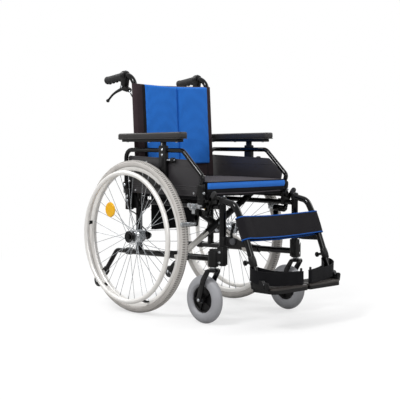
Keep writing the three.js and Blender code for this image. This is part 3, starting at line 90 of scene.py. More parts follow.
def addNode(tree, kind, inputs=None, **settings):
    node = tree.nodes.new(kind)
    for key, value in settings.items():
        setattr(node, key, value)
    for key, value in (inputs or {}).items():
        if isinstance(value, bpy.types.NodeSocket):
            tree.links.new(value, node.inputs[key])
        else:
            node.inputs[key].default_value = value
    return node


def startMaterial(name):
    material = bpy.data.materials.new(name)
    material.use_nodes = True
    material.node_tree.nodes.clear()
    return material, material.node_tree


# Two sizes of noise over the piece: fine grain for bump and roughness, broad drift for colour
def grained(name, base, drift, roughness, metallic=0.0, spread=0.06, grain=1.2, depth=0.03, broad=70,
            ior=1.5,
            coat=0.0, sheen=0.0, driftShare=0.5):
    material, tree = startMaterial(name)
    place = addNode(tree, "ShaderNodeTexCoord").outputs["Object"]
    fine = addNode(tree, "ShaderNodeTexNoise", {"Vector": place, "Scale": 1000 / grain, "Detail": 3.0})
    wide = addNode(tree, "ShaderNodeTexNoise", {"Vector": place, "Scale": 1000 / broad, "Detail": 5.0})
    share = addNode(tree, "ShaderNodeMapRange",
                    {"Value": wide.outputs["Fac"], "From Min": 0.35, "From Max": 0.68,
                                                 "To Min": 0.0, "To Max": driftShare})
    colour = addNode(tree, "ShaderNodeMix", {0: share.outputs[0], 6: linear(base), 7: linear(drift)},
                     data_type="RGBA")
    rough = addNode(tree, "ShaderNodeMapRange",
                    {"Value": fine.outputs["Fac"], "From Min": 0.3, "From Max": 0.7,
                                                 "To Min": max(0.02, roughness - spread),
                     "To Max": roughness + spread})
    bump = addNode(tree, "ShaderNodeBump", {"Height": fine.outputs["Fac"], "Distance": depth / 1000,
                                            "Strength": 1.0})
    shader = addNode(tree, "ShaderNodeBsdfPrincipled", {
        "Base Color": colour.outputs[2], "Roughness": rough.outputs[0], "Normal": bump.outputs[0],
        "Metallic": metallic, "Coat Weight": coat, "Sheen Weight": sheen,
    })
    if metallic < 0.5:
        shader.inputs["IOR"].default_value = ior
    shader.inputs["Coat Roughness"].default_value = 0.06
    addNode(tree, "ShaderNodeOutputMaterial", {"Surface": shader.outputs[0]})
    return material


# Plain weave: warp follows X and weft follows Y and Z together, so tops and fronts both show it
def woven(name, warp, weft, pitch, depth, roughness=0.92, sheen=0.05):
    material, tree = startMaterial(name)
    place = addNode(tree, "ShaderNodeTexCoord").outputs["Object"]
    split = addNode(tree, "ShaderNodeSeparateXYZ", {0: place})
    across = addNode(tree, "ShaderNodeMath", {0: split.outputs[1], 1: split.outputs[2]}, operation="ADD")
    waves = []
    for socket in (split.outputs[0], across.outputs[0]):
        turn = addNode(tree, "ShaderNodeMath", {0: socket, 1: 2 * math.pi * 1000 / pitch},
                       operation="MULTIPLY")
        waves.append(addNode(tree, "ShaderNodeMath", {0: turn.outputs[0]}, operation="SINE").outputs[0])
    knit = addNode(tree, "ShaderNodeMath", {0: waves[0], 1: waves[1]}, operation="MULTIPLY")
    height = addNode(tree, "ShaderNodeMapRange",
                     {"Value": knit.outputs[0], "From Min": -1.0, "From Max": 1.0})
    drift = addNode(tree, "ShaderNodeTexNoise", {"Vector": place, "Scale": 1000 / 45, "Detail": 5.0})
    share = addNode(tree, "ShaderNodeMath", {0: height.outputs[0], 1: drift.outputs["Fac"]},
                    operation="MULTIPLY")
    colour = addNode(tree, "ShaderNodeMix", {0: share.outputs[0], 6: linear(warp), 7: linear(weft)},
                     data_type="RGBA")
    bump = addNode(tree, "ShaderNodeBump", {"Height": height.outputs[0], "Distance": depth / 1000,
                                            "Strength": 0.8})
    shader = addNode(tree, "ShaderNodeBsdfPrincipled", {
        "Base Color": colour.outputs[2], "Roughness": roughness, "Normal": bump.outputs[0],
        "Sheen Weight": sheen, "IOR": 1.2,
    })
    addNode(tree, "ShaderNodeOutputMaterial", {"Surface": shader.outputs[0]})
    return material


# Spacer mesh: knitted cells with a dark eye in each; the eye's darker colour is painted shade inside the
# cell's hole
def spacerMesh(name, thread, eyeShade, cell, depth):
    material, tree = startMaterial(name)
    place = addNode(tree, "ShaderNodeTexCoord").outputs["Object"]
    cells = addNode(tree, "ShaderNodeTexVoronoi",
                    {"Vector": place, "Scale": 1000 / cell, "Randomness": 0.35})
    drift = addNode(tree, "ShaderNodeTexNoise", {"Vector": place, "Scale": 1000 / 60, "Detail": 4.0})
    ring = addNode(tree, "ShaderNodeMapRange",
                   {"Value": cells.outputs["Distance"], "From Min": 0.12, "From Max": 0.42})
    shade = addNode(tree, "ShaderNodeMath", {0: drift.outputs["Fac"], 1: 0.35}, operation="MULTIPLY")
    share = addNode(tree, "ShaderNodeMath", {0: ring.outputs[0], 1: 0.72, 2: shade.outputs[0]},
                    operation="MULTIPLY_ADD")
    share.use_clamp = True
    colour = addNode(tree, "ShaderNodeMix", {0: share.outputs[0], 6: linear(eyeShade), 7: linear(thread)},
                     data_type="RGBA")
    bump = addNode(tree, "ShaderNodeBump", {"Height": ring.outputs[0], "Distance": depth / 1000,
                                            "Strength": 0.9})
    shader = addNode(tree, "ShaderNodeBsdfPrincipled", {
        "Base Color": colour.outputs[2], "Roughness": 0.88, "Normal": bump.outputs[0], "Sheen Weight": 0.05,
        "IOR": 1.2,
    })
    addNode(tree, "ShaderNodeOutputMaterial", {"Surface": shader.outputs[0]})
    return material


# Acrylic reflector: cube corners under a clear front, drawn as a fine grid of facets, each painted brighter
# at its centre: painted glint
def prismReflector(name, facetGlint, deep, cell):
    material, tree = startMaterial(name)
    place = addNode(tree, "ShaderNodeTexCoord").outputs["Object"]
    facet = addNode(tree, "ShaderNodeTexVoronoi", {"Vector": place, "Scale": 1000 / cell, "Randomness": 0.2})
    colour = addNode(tree, "ShaderNodeMix", {0: facet.outputs["Distance"], 6: linear(facetGlint),
                                             7: linear(deep)},
                     data_type="RGBA")
    bump = addNode(tree, "ShaderNodeBump", {"Height": facet.outputs["Distance"], "Distance": 0.0006,
                                            "Strength": 0.7})
    shader = addNode(tree, "ShaderNodeBsdfPrincipled", {
        "Base Color": colour.outputs[2], "Roughness": 0.22, "Normal": bump.outputs[0], "IOR": 1.49,
        "Coat Weight": 0.15,
    })
    addNode(tree, "ShaderNodeOutputMaterial", {"Surface": shader.outputs[0]})
    return material


# Stoved enamel over drawn steel tube: deep black, wet gloss, faint orange peel of about 2 mm
enamel = grained("stovedEnamel", "#040405", "#08080a", 0.12, spread=0.04, grain=2.2, depth=0.006, ior=1.4)
# Zinc plated and passivated steel: bright, slightly cloudy
zinc = grained("zincPlatedSteel", "#d2d5d8", "#b4b8bd", 0.27, metallic=1.0, spread=0.07, grain=0.8,
               depth=0.004)
# Drawn stainless spokes: mirror-like but thin
stainless = grained("drawnStainlessSteel", "#c3c7cb", "#aeb2b7", 0.24, metallic=1.0, spread=0.05, grain=0.6,
                    depth=0.002)
# Extruded and silver anodised aluminium: satin, pale
anodised = grained("silverAnodisedAluminium", "#f8f6f3", "#eae8e4", 0.36, metallic=0.4, spread=0.05,
                   grain=0.5, depth=0.003)
# Silver powder coat over steel: pale grey with a fine flake
silverCoat = grained("silverPowderCoat", "#e4e1dc", "#d2cfca", 0.38, metallic=0.3, spread=0.06, grain=0.9,
                     depth=0.01)
# Pneumatic tyre in non-marking grey rubber, moulded; its groove floors get painted shade
greyRubber = grained("nonMarkingGreyRubber", "#c6c2be", "#b4b1ad", 0.78, spread=0.08, grain=1.4, depth=0.05,
                     sheen=0.1, broad=40)
# Cast polyurethane caster tyre: smooth mid grey, satin
polyurethane = grained("castPolyurethane", "#9fa0a4", "#8b8b90", 0.46, spread=0.08, grain=1.6, depth=0.02,
                       broad=45)
# Moulded glass-filled nylon: black with a fine spark-eroded grain
nylon = grained("mouldedNylon", "#09090a", "#111113", 0.42, spread=0.08, grain=0.9, depth=0.03, ior=1.36)
# Injection moulded ABS sheet: dark grey, half gloss
absSheet = grained("mouldedABS", "#2b292c", "#343234", 0.4, spread=0.07, grain=1.0, depth=0.02)
# Moulded thermoplastic rubber of grips and feet: matt, worn a little paler
softGrip = grained("mouldedGripRubber", "#1b1b1d", "#2a2a2c", 0.66, spread=0.08, grain=1.1, depth=0.05,
                   sheen=0.08)
# Grey moulded nylon of the hangers' caps: the same grain, paler
greyNylon = grained("greyMouldedNylon", "#3b3c40", "#46474b", 0.46, spread=0.08, grain=0.9, depth=0.03)
# Self-skinned polyurethane foam of arm pads: dark grey with leather-like pebbles
padSkin = grained("selfSkinnedFoam", "#262424", "#343131", 0.5, spread=0.07, grain=1.8, depth=0.06)
# Cable sleeve: extruded PVC
cableSleeve = grained("extrudedPVC", "#0d0d0e", "#17171a", 0.35, spread=0.05, grain=1.5, depth=0.01)
# Sewn nylon cloth; real thread spacing is 0.5 mm, drawn at 2.4 mm so that it shows
blackCloth = woven("wovenBlackNylon", "#151518", "#26262a", 2.4, 0.22)
greyCloth = woven("wovenCharcoalNylon", "#403c40", "#565257", 2.6, 0.25)
# Side cloth of the back cover: brownish black
sideCloth = woven("wovenBrownBlackNylon", "#33292c", "#4a3f43", 2.6, 0.22)
# Padded calf strap: nearly black
strapCloth = woven("wovenStrapNylon", "#171619", "#29272b", 2.6, 0.25)
# Foot plate top: moulded grey-brown with a satin skin, kept paler than the black wall below; the paleness is
# partly the moulding's own warm tone and partly painted sheen of the lit top
plateSkinSheen = grained("mouldedPlateSkinSheen", "#2b2725", "#3a3532", 0.34, spread=0.07, grain=1.2, depth=0.03)
# Groove floors between the tread blocks: the same grey rubber, painted darker as painted shade in the
# grooves
treadGapShade = grained("greyRubberTreadGapShade", "#8b8883", "#7a7772", 0.85, spread=0.05, grain=1.4, depth=0.04)
# Blue band in front of the cushion and behind it, woven as finely as the black cloth
blueCloth = woven("wovenBlueNylon", "#2f72cf", "#4288e6", 2.4, 0.2)
# Polyamide webbing: ribbed, real ribs of 1.5 mm drawn at 3 mm
webbing = woven("ribbedWebbing", "#0f0f11", "#222226", 3.0, 0.3)
# Knitted polyester spacer mesh; cells of 3 mm, drawn at 3.4 mm; the darker blue is painted shade in each
# cell's eye
blueMesh = spacerMesh("blueSpacerMesh", "#2a72ce", "#1b5aae", 3.4, 0.5)
# Piping of the calf strap: darker woven blue tape
blueTape = woven("wovenBlueTape", "#184a92", "#2360b4", 2.6, 0.2)
# Acrylic wheel reflector: orange yellow, with painted glint in its facets
amber = prismReflector("acrylicReflector", "#fccb04", "#f0a800", 3.0)


def solidFrom(points, faces):
    made = bmesh.new()
    corners = [made.verts.new(p) for p in points]
    for face in faces:
        made.faces.new([corners[i] for i in face])
    bmesh.ops.recalc_face_normals(made, faces=made.faces[:])
    return made


# Corners joined by straight runs and round bends
def bentPath(corners, bend, step=8):
    points = [Vector(c) for c in corners]
    path = [points[0]]
    for before, here, after in zip(points, points[1:], points[2:]):
        a, b = here - before, after - here
        longest = min(a.length, b.length) / 2.05
        a, b = a.normalized(), b.normalized()
        angle = a.angle(b)
        if angle < 0.01:
            path.append(here)
            continue
        reach = min(bend * math.tan(angle / 2), longest)
        radius = reach / math.tan(angle / 2)
        inward = (b - a * a.dot(b)).normalized()
        steps = max(2, math.ceil(math.degrees(angle) / step))
        for k in range(steps + 1):
            turn = angle * k / steps
            path.append(here - a * reach + a * radius * math.sin(turn)
                        + inward * radius * (1 - math.cos(turn)))
    path.append(points[-1])
    return path


# A smooth curve through points
def curvePath(points, each=6):
    p = [Vector(c) for c in points]
    p = [p[0] * 2 - p[1]] + p + [p[-1] * 2 - p[-2]]
    path = []
    for i in range(1, len(p) - 2):
        for k in range(each):
            t = k / each
            path.append(0.5 * ((2 * p[i]) + (p[i + 1] - p[i - 1]) * t
                               + (2 * p[i - 1] - 5 * p[i] + 4 * p[i + 1] - p[i + 2]) * t * t
                               + (3 * p[i] - p[i - 1] - 3 * p[i + 1] + p[i + 2]) * t ** 3))
    return path + [p[-2]]


# A section carried along a path: round by radius, or any outline of (u, v) with u along `up`
def sweep(path, radius, sides=18, outline=None, up=None, edge=0.0):
    path = [Vector(p) for p in path]
    radii = list(radius) if hasattr(radius, "__len__") else [radius] * len(path)
    if edge:  # the cut ends of a tube are broken by a small round
        first, last = (path[1] - path[0]).normalized(), (path[-1] - path[-2]).normalized()
        path = [path[0], path[0] + first * edge] + path[1:-1] + [path[-1] - last * edge, path[-1]]
        radii = [radii[0] - edge, radii[0]] + radii[1:-1] + [radii[-1], radii[-1] - edge]
    along = []
    for i in range(len(path)):
        a = path[i] - path[i - 1] if i else path[1] - path[0]
        b = path[i + 1] - path[i] if i < len(path) - 1 else a
        along.append((a.normalized() + b.normalized()).normalized())
    u = Vector(up) if up else along[0].orthogonal()
    rings, points = [], []
    if outline is None:
        outline = [(math.cos(2 * math.pi * k / sides), math.sin(2 * math.pi * k / sides))
                   for k in range(sides)]
    else:
        radii = [1.0] * len(path)
    for here, way, r in zip(path, along, radii):
        u = (u - way * u.dot(way)).normalized()
        v = way.cross(u)
        rings.append(range(len(points), len(points) + len(outline)))
        points += [here + u * r * a + v * r * b for a, b in outline]
    n = len(outline)
    faces = [(ring[k], ring[(k + 1) % n], after[(k + 1) % n], after[k])
             for ring, after in zip(rings, rings[1:]) for k in range(n)]
    faces += [tuple(reversed(rings[0])), tuple(rings[-1])]
    return solidFrom(points, faces)


# Closed rings of points, joined in turn and capped
def loft(rings):
    n = len(rings[0])
    points = [p for ring in rings for p in ring]
    faces = [(i * n + j, i * n + (j + 1) % n, (i + 1) * n + (j + 1) % n, (i + 1) * n + j)
             for i in range(len(rings) - 1) for j in range(n)]
    faces += [tuple(range(n)), tuple(reversed(range((len(rings) - 1) * n, len(rings) * n)))]
    made = solidFrom(points, faces)
    made.faces.ensure_lookup_table()
    return made


def rod(start, end, radius, sides=20, edge=0.6):
    return sweep([start, end], radius, sides, edge=edge)


# Which way round (across, up, along) an axis stands
axisTurns = {
    "x": Matrix(((0, 0, 1), (1, 0, 0), (0, 1, 0))), "y": Matrix(((0, 1, 0), (0, 0, 1), (1, 0, 0))),
    "z": Matrix(((1, 0, 0), (0, 1, 0), (0, 0, 1))),
}


# A profile of (radius, along) turned about an axis; one that ends off the axis closes on itself
def lathe(profile, axis, at, segments=48, wobble=None):
    turn, at = axisTurns[axis], Vector(at)
    ring = profile[0][0] > 1e-6 and profile[-1][0] > 1e-6
    points, faces = [], []
    for k in range(segments):
        angle = 2 * math.pi * k / segments
        for j, (radius, far) in enumerate(profile):
            r = radius - (wobble(k, j) if wobble else 0)
            points.append(at + turn @ Vector((r * math.cos(angle), r * math.sin(angle), far)))
    n = len(profile)
    for k in range(segments):
        a, b = k * n, ((k + 1) % segments) * n
        for j in range(n if ring else n - 1):
            i = (j + 1) % n
            faces.append((a + j, b + j, b + i, a + i))
    made = solidFrom(points, faces)
    bmesh.ops.remove_doubles(made, verts=made.verts[:], dist=1e-4)
    bmesh.ops.dissolve_degenerate(made, edges=made.edges[:], dist=1e-5)
    bmesh.ops.recalc_face_normals(made, faces=made.faces[:])
    return made


# The outline a belt takes round circles of (u, v, radius)
def belt(circles, sides=28):
    points = sorted((u + r * math.cos(2 * math.pi * (k + 0.5) / sides),
                     v + r * math.sin(2 * math.pi * (k + 0.5) / sides))
                    for u, v, r in circles for k in range(sides))

    def chain(points):
        kept = []
        for p in points:
            while len(kept) > 1 and ((kept[-1][0] - kept[-2][0]) * (p[1] - kept[-2][1])
                                     - (kept[-1][1] - kept[-2][1]) * (p[0] - kept[-2][0])) <= 1e-7:
                kept.pop()
            kept.append(p)
        return kept

    return chain(points)[:-1] + chain(points[::-1])[:-1]


# An outline given in the plane across an axis (x: y and z, y: z and x, z: x and y), drawn along it
def slab(outline, axis, low, high, edge=0.8, steps=2):
    turn = axisTurns[axis]
    n = len(outline)
    points = [turn @ Vector((u, v, far)) for far in (low, high) for u, v in outline]
    faces = [tuple(reversed(range(n))), tuple(range(n, 2 * n))]
    faces += [(k, (k + 1) % n, n + (k + 1) % n, n + k) for k in range(n)]
    made = solidFrom(points, faces)
    if edge:
        rims = [e for e in made.edges if e.calc_face_angle(0) > 0.6]
        bmesh.ops.bevel(made, geom=rims, offset=edge, segments=steps, profile=0.5, affect="EDGES",
                        clamp_overlap=True)
    return made


def plate(circles, axis, low, high, edge=0.8, sides=28):
    return slab(belt(circles, sides), axis, low, high, edge)


# The two slices of a middle plane's sides, from near to far
def eitherSide(middle, near, far):
    return (middle - far, middle - near), (middle + near, middle + far)


def block(x0, x1, y0, y1, z0, z1, edge=0.8, steps=2):
    return slab([(x0, y0), (x1, y0), (x1, y1), (x0, y1)], "z", z0, z1, edge, steps)


# Hexagon head on a washer, facing along an axis
def bolt(at, way, radius, height=None, skin=zinc):
    at, way = Vector(at), Vector(way).normalized()
    height = height or radius * 0.8
    head = sweep([at, at + way * height * 0.8, at + way * height], [radius, radius, radius * 0.8], 6)
    washer = sweep([at - way * 0.4, at + way * 1.0], radius * 1.3, 20)
    return [(head, skin), (washer, skin)]


def ballShape(at, radius, sides=20):
    half = [(radius * math.sin(math.pi * k / 10), -radius * math.cos(math.pi * k / 10)) for k in range(11)]
    half[0], half[-1] = (0, -radius), (0, radius)
    return lathe(half, "z", at, sides)


def turnAll(parts, matrix):
    for shape, _ in parts:
        bmesh.ops.transform(shape, matrix=matrix, verts=shape.verts[:])
    return parts


# One object from shapes and their materials; side -1 is its mirror image
def makePiece(name, parts, side=1, sharp=38):
    mesh = bpy.data.meshes.new(name)
    whole = bmesh.new()
    slots = []
    for shape, material, *marks in parts:
        several = material if isinstance(material, list) else [material]
        slots += [m for m in several if m not in slots]
        for number, face in enumerate(shape.faces):
            face.material_index = slots.index(several[marks[0][number] if marks else 0])
            face.smooth = True
        for vert in shape.verts:
            vert.co = inMetres(vert.co.x * side, vert.co.y, vert.co.z)
        if side < 0:
            bmesh.ops.reverse_faces(shape, faces=shape.faces[:])
        part = bpy.data.meshes.new("part")
        shape.to_mesh(part)
        whole.from_mesh(part)
        bpy.data.meshes.remove(part)
        shape.free()
    whole.to_mesh(mesh)
    whole.free()
    for material in slots:
        mesh.materials.append(material)
    mesh.set_sharp_from_angle(angle=math.radians(sharp))
    obj = bpy.data.objects.new(name, mesh)
    bpy.context.scene.collection.objects.link(obj)
    return obj


# A piece that rides on a body and may stand for CAD nodes
def addPiece(name, body, parts, replaces=(), side=1, sharp=38):
    obj = makePiece(name, parts, side, sharp)
    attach(obj, body)
    if replaces:
        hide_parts(*replaces)
    return obj


# The same on both sides of the chair; make() gives fresh shapes of the left one
def addPair(name, body, make, node=None, sharp=38):
    made = []
    for label, side in (("left", 1), ("right", -1)):
        replaces = [f"{label}_{node}"] if node else []
        made.append(addPiece(label + name, f"{label}_{body}", make(), replaces, side, sharp))
    return made


# Closed cloth from a grid of points (rows of columns), open or closed along its columns;
# thickness(i, j) takes shares from 0 to 1
def clothSkin(grid, thickness, loop=False):
    rows, columns = len(grid), len(grid[0])
    turns = []
    for i in range(rows):
        line = []
        for j in range(columns):
            before = grid[i][j - 1] if j or loop else grid[i][j]
            after = grid[i][(j + 1) % columns] if j < columns - 1 or loop else grid[i][j]
            up = grid[min(i + 1, rows - 1)][j] - grid[max(i - 1, 0)][j]
            line.append((after - before).cross(up).normalized())
        turns.append(line)
    points = []
    for s in (0.5, -0.5):
        for i in range(rows):
            for j in range(columns):
                points.append(grid[i][j] + turns[i][j] * thickness(i / (rows - 1), j / (columns - 1)) * s)
    under = rows * columns
    faces = []
    for i in range(rows - 1):
        for j in range(columns if loop else columns - 1):
            k = (j + 1) % columns
            a, b, c, d = i * columns + j, i * columns + k, (i + 1) * columns + k, (i + 1) * columns + j
            faces += [(a, b, c, d), (under + d, under + c, under + b, under + a)]
    for j in range(columns if loop else columns - 1):
        k = (j + 1) % columns
        far = (rows - 1) * columns
        faces += [(k, j, under + j, under + k), (far + j, far + k, under + far + k, under + far + j)]
    if not loop:
        for i in range(rows - 1):
            a, d = i * columns, (i + 1) * columns
            b, c = a + columns - 1, d + columns - 1
            faces += [(a, d, under + d, under + a), (c, b, under + b, under + c)]
    return solidFrom(points, faces)


# Gentle creases: noise stretched along one way, in mm
def crease(point, wide, long, height, seed=0.0):
    return noise.noise(Vector((point[0] / wide, point[1] / long, seed))) * height


# A round cord along a closed loop of points
def loopCord(path, radius, sides=8):
    n = len(path)
    points, faces = [], []
    for i, here in enumerate(path):
        way = (path[(i + 1) % n] - path[i - 1]).normalized()
        u = Vector((0, 0, 1))
        u = (u - way * u.dot(way)).normalized()
        v = way.cross(u)
        points += [here + (u * math.cos(2 * math.pi * k / sides) + v * math.sin(2 * math.pi * k / sides))
                   * radius for k in range(sides)]
    for i in range(n):
        a, b = i * sides, ((i + 1) % n) * sides
        faces += [(a + k, a + (k + 1) % sides, b + (k + 1) % sides, b + k) for k in range(sides)]
    return solidFrom(points, faces)


rearWheel = {
    "x": 267, "z": 305, "bead": 279.6, "blocks": 200, "groove": 2.4,
    "rimInner": 261.3, "spokes": 36, "spokeRadius": 1.05, "lean": 60, "pass": 1.4,
    "pushX": 316, "pushRadius": 255, "pushTube": 9.5, "tabs": 6, "tabTurn": 21, "valveTurn": 2.2,
}
wheelHub = {"drumX": 235, "drumEnd": 259, "drum": 24.5, "flangeX": 279, "flange": 27, "capX": 300}


def roundWheel(radius, turn, x):
    return Vector((x, radius * math.sin(turn), rearWheel["z"] + radius * math.cos(turn)))


# Radius of the tyre's crown at a place across it, from the middle plane
def treadLevel(off):
    line = [(1.2, 304.6), (3.4, 304.9), (8.2, 303.9), (11.4, 302.6), (14.7, 300.0), (16.2, 297.5),
            (17.2, 294.5)]
    for (a, ra), (b, rb) in zip(line, line[1:]):
        if off <= b:
            return ra + (rb - ra) * max(0.0, (off - a) / (b - a))
    return line[-1][1]


def rearTyre():
    w = rearWheel
    middle = (w["x"], 0, w["z"])
    half = [(w["bead"], 12.0), (281.2, 14.8), (285, 16.7), (290, 17.5), (294.5, 17.2), (297.5, 16.2),
            (299.6, 14.8),
            (300.4, 14.6), (302.6, 11.4), (303.9, 8.2), (304.1, 7.6), (304.9, 3.4), (304.6, 2.6),
            (304.6, 1.2)]
    profile = [(r, -a) for r, a in half] + [(r, a) for r, a in reversed(half)]
    tread = {7, 8, 9, 10, 11}
    last = len(profile) - 1

    def wobble(k, j):  # one segment in four is a groove across the shoulder
        j = min(j, last - j)
        return w["groove"] if j in tread and k % 4 == 0 else 0

    body = lathe(profile, "x", middle, w["blocks"] * 4, wobble)
    marks = []
    # groove floors take the darker colour: painted shade in the grooves
    for face in body.faces:  # the floor of each groove is darker
        at = face.calc_center_median()
        reach, off = math.hypot(at.y, at.z - w["z"]), abs(at.x - w["x"])
        marks.append(1 if 296 < reach < treadLevel(off) - 0.8 and 4 < off < 14.4 else 0)
    line = [(294.0, 17.35), (294.4, 17.9), (295.2, 17.85), (295.6, 17.2)]
    parts = [(body, [greyRubber, treadGapShade], marks)]
    for s in (-1, 1):
        parts.append((lathe([(r, s * a) for r, a in line], "x", middle, 128), greyRubber))
    valve = [roundWheel(radius, w["valveTurn"], w["x"]) for radius in (262, 244, 238)]
    parts.append((sweep(valve, [3.4, 3.2, 3.6], 12), nylon))
    return parts


def rearRim():
    w, h = rearWheel, wheelHub
    section = [(261.3, 0), (261.6, -5), (262.6, -8), (265.5, -10.4), (270, -11.6), (276, -12.5),
               (279.1, -12.4), (279.2, -11.2),
               (276, -10.4), (274.5, -8), (274.5, 8), (276, 10.4), (279.2, 11.2), (279.1, 12.4), (276, 12.5),
               (270, 11.6),
               (265.5, 10.4), (262.6, 8), (261.6, 5)]
    parts = [(lathe(section, "x", (w["x"], 0, w["z"]), 144), anodised)]
    for i in range(w["spokes"]):
        outer = i % 2 == 0
        lean = 1 if (i // 2) % 2 == 0 else -1
        turn = 2 * math.pi * i / w["spokes"]
        inner = turn + lean * math.radians(w["lean"])
        radius = (h["flange"] if outer else h["drum"]) * 0.88
        slip = lean * w["pass"]
        start = roundWheel(radius, inner, slip + (h["flangeX"] + 2 if outer else h["drumEnd"] - 4))
        end = roundWheel(w["rimInner"] + 1, turn, w["x"] + slip + (3.2 if outer else -3.2))
        way = (end - start).normalized()
        parts.append((rod(start, end, w["spokeRadius"], 8, edge=0), stainless))
        parts.append((sweep([end - way * 13, end - way * 2, end + way * 1], [1.5, 2.3, 2.6], 8), zinc))
        parts.append((sweep([start - way * 1.2, start + way * 1.2], [1.9, 1.5], 8), stainless))
    axle, drumX, drumEnd, flangeX, capX = (0, 0, w["z"]), h["drumX"], h["drumEnd"], h["flangeX"], h["capX"]
    profile = [(6.6, drumX), (21, drumX), (23.6, drumX + 1), (h["drum"], drumX + 3),
               (h["drum"], drumEnd - 4),
               (23.4, drumEnd - 1), (21, drumEnd), (18, drumEnd + 3), (15.5, drumEnd + 7),
               (15, drumEnd + 12),
               (15, flangeX - 6), (18, flangeX - 2.5), (26.5, flangeX - 0.5), (h["flange"], flangeX + 0.6),
               (h["flange"], flangeX + 3.4), (26.4, flangeX + 4), (23, flangeX + 4), (6.6, flangeX + 4.2)]
    parts.append((lathe(profile, "x", axle, 56), zinc))
    for k in range(3):  # cooling rings of the drum
        far = drumX + 5 + k * 5
        parts.append((lathe([(24.3, far), (25.7, far + 0.5), (25.7, far + 1.5), (24.3, far + 2)], "x", axle,
                            56), zinc))
    cap = [(6.6, flangeX + 4), (14, flangeX + 4.1), (15, flangeX + 9), (16, capX - 4), (22.4, capX - 3.4),
           (23.5, capX - 2), (23.3, capX + 0.6), (22.2, capX + 1.4), (19, capX + 1), (13, capX - 1.6),
           (6.6, capX - 2)]
    parts.append((lathe(cap, "x", axle, 56), enamel))
    return parts


def spokeReflector():
    at = (274, 148, 405)
    rim = [(0, -2.4), (28.5, -2.4), (30.4, -1.6), (31.2, 0), (30.4, 1.6), (28.8, 2.6), (27.6, 2.0), (0, 2.0)]
    face = [(0, 1.9), (26.8, 1.9), (27.4, 2.3), (26.6, 3.0), (8, 3.2), (0, 3.3)]
    parts = [(lathe(rim, "x", at, 48), amber), (lathe(face, "x", at, 48), amber)]
    for y in (-12, 12):
        parts.append((block(270.5, 272.2, at[1] + y - 2, at[1] + y + 2, at[2] - 16, at[2] + 16, 0.5), amber))
    return parts


def pushRim():
    w = rearWheel
    ring = [(w["pushRadius"] + w["pushTube"] * math.cos(2 * math.pi * k / 20),
             w["pushTube"] * math.sin(2 * math.pi * k / 20))
            for k in range(20)]
    parts = [(lathe(ring, "x", (w["pushX"], 0, w["z"]), 160), anodised)]
    for i in range(w["tabs"]):
        turn = math.radians(w["tabTurn"] + 360 * i / w["tabs"])
        foot, knee = roundWheel(268, turn, 280.2), roundWheel(267, turn, 291)
        head = roundWheel(w["pushRadius"], turn, w["pushX"] - 2)
        side = Vector((0, math.cos(turn), -math.sin(turn)))
        strap = [(-7, -2.2), (-6.2, -3), (6.2, -3), (7, -2.2), (7, 2.2), (6.2, 3), (-6.2, 3), (-7, 2.2)]
        parts.append((sweep(bentPath([foot, knee, head], 8), 1, outline=strap, up=side), nylon))
        parts.append((sweep([roundWheel(257, turn, w["pushX"] - 11.5),
                             roundWheel(256, turn, w["pushX"] - 7)], [4.6, 6.4], 16), nylon))
    return parts


addPair("RearTyre", "wheel", rearTyre, "rear_tyre", sharp=30)
addPair("RearRimAndSpokes", "wheel", rearRim, "rear_wheel")
addPair("SpokeReflector", "wheel", spokeReflector)
addPair("PushRim", "wheel", pushRim, "push_rim")
print("rear wheels made")


def axleAndBrake():
    z, x = rearWheel["z"], 228.6
    disc = [(6.2, x - 1), (12, x - 1.5), (20, x - 0.4), (23.5, x + 0.6), (24.6, x + 2), (24.6, x + 5.2),
            (6.2, x + 5.2)]
    parts = [(lathe(disc, "x", (0, 0, z), 56), zinc)]
    parts.append((rod((186, 0, z), (303, 0, z), 6, 24), stainless))
    parts.append((lathe([(0, 299.8), (9, 299.8), (9.5, 300.6), (9.2, 302.8), (8, 303.4), (0, 303.4)], "x",
                        (0, 0, z), 32), nylon))
    for far in (189.5, 213.2):
        parts += [(sweep([(far - 3, 0, z), (far, 0, z)], [10.5, 10.5], 6), zinc)]
    parts.append((rod((213, 0, z), (228, 0, z), 10, 28, 1), nylon))
    parts.append((plate([(0, z, 11), (-15, z + 4, 7)], "x", 216.2, 219.8, 0.9), nylon))
    parts.append((plate([(-15, z + 2, 7), (-14, z + 11, 5.6)], "x", 215, 222, 1.4), nylon))
    for k in range(5):
        turn = 2 * math.pi * (k + 0.3) / 5
        parts.append((rod((226.8, 18 * math.sin(turn), z + 18 * math.cos(turn)),
                          (228.8, 18 * math.sin(turn), z + 18 * math.cos(turn)), 2.6, 10), stainless))
    return parts


def axleButton():
    profile = [(0, 294.5), (4.4, 294.5), (4.4, 305.8), (3.9, 306.9), (2.4, 307.4), (0, 307.4)]
    return [(lathe(profile, "x", (0, 0, rearWheel["z"]), 24), nylon)]


addPair("AxleAndBrakePlate", "frame", axleAndBrake, "axle_and_brake")
addPair("AxleButton", "button", axleButton, "axle_button")

caster = {"x": 232, "y": -415, "trail": 47, "radius": 91.4}
casterAxle = (0, caster["trail"], caster["radius"])  # from the swivel's axis


def casterPlace():
    return Matrix.Translation((caster["x"], caster["y"], 0))


def casterTyre():
    half = [(50.4, 0), (50.4, 9), (51.2, 13), (54.4, 16.8), (59, 19.2), (65, 20.2), (71.6, 19.6), (78, 17.4),
            (83.6, 13.8),
            (87.8, 9.6), (90.2, 5.4), (91.2, 2), (91.4, 0)]
    profile = [(r, -a) for r, a in half[1:-1]] + [(91.4, 0)] + [(r, a) for r, a in reversed(half[1:-1])]
    parts = [(lathe(profile, "x", casterAxle, 96), polyurethane)]
    for s in (-1, 1):
        bead = [(57.5, s * 18.4), (58.1, s * 19.3), (59.3, s * 19.8), (60, s * 19.3)]
        parts.append((lathe(bead, "x", casterAxle, 96), polyurethane))
    return turnAll(parts, casterPlace())


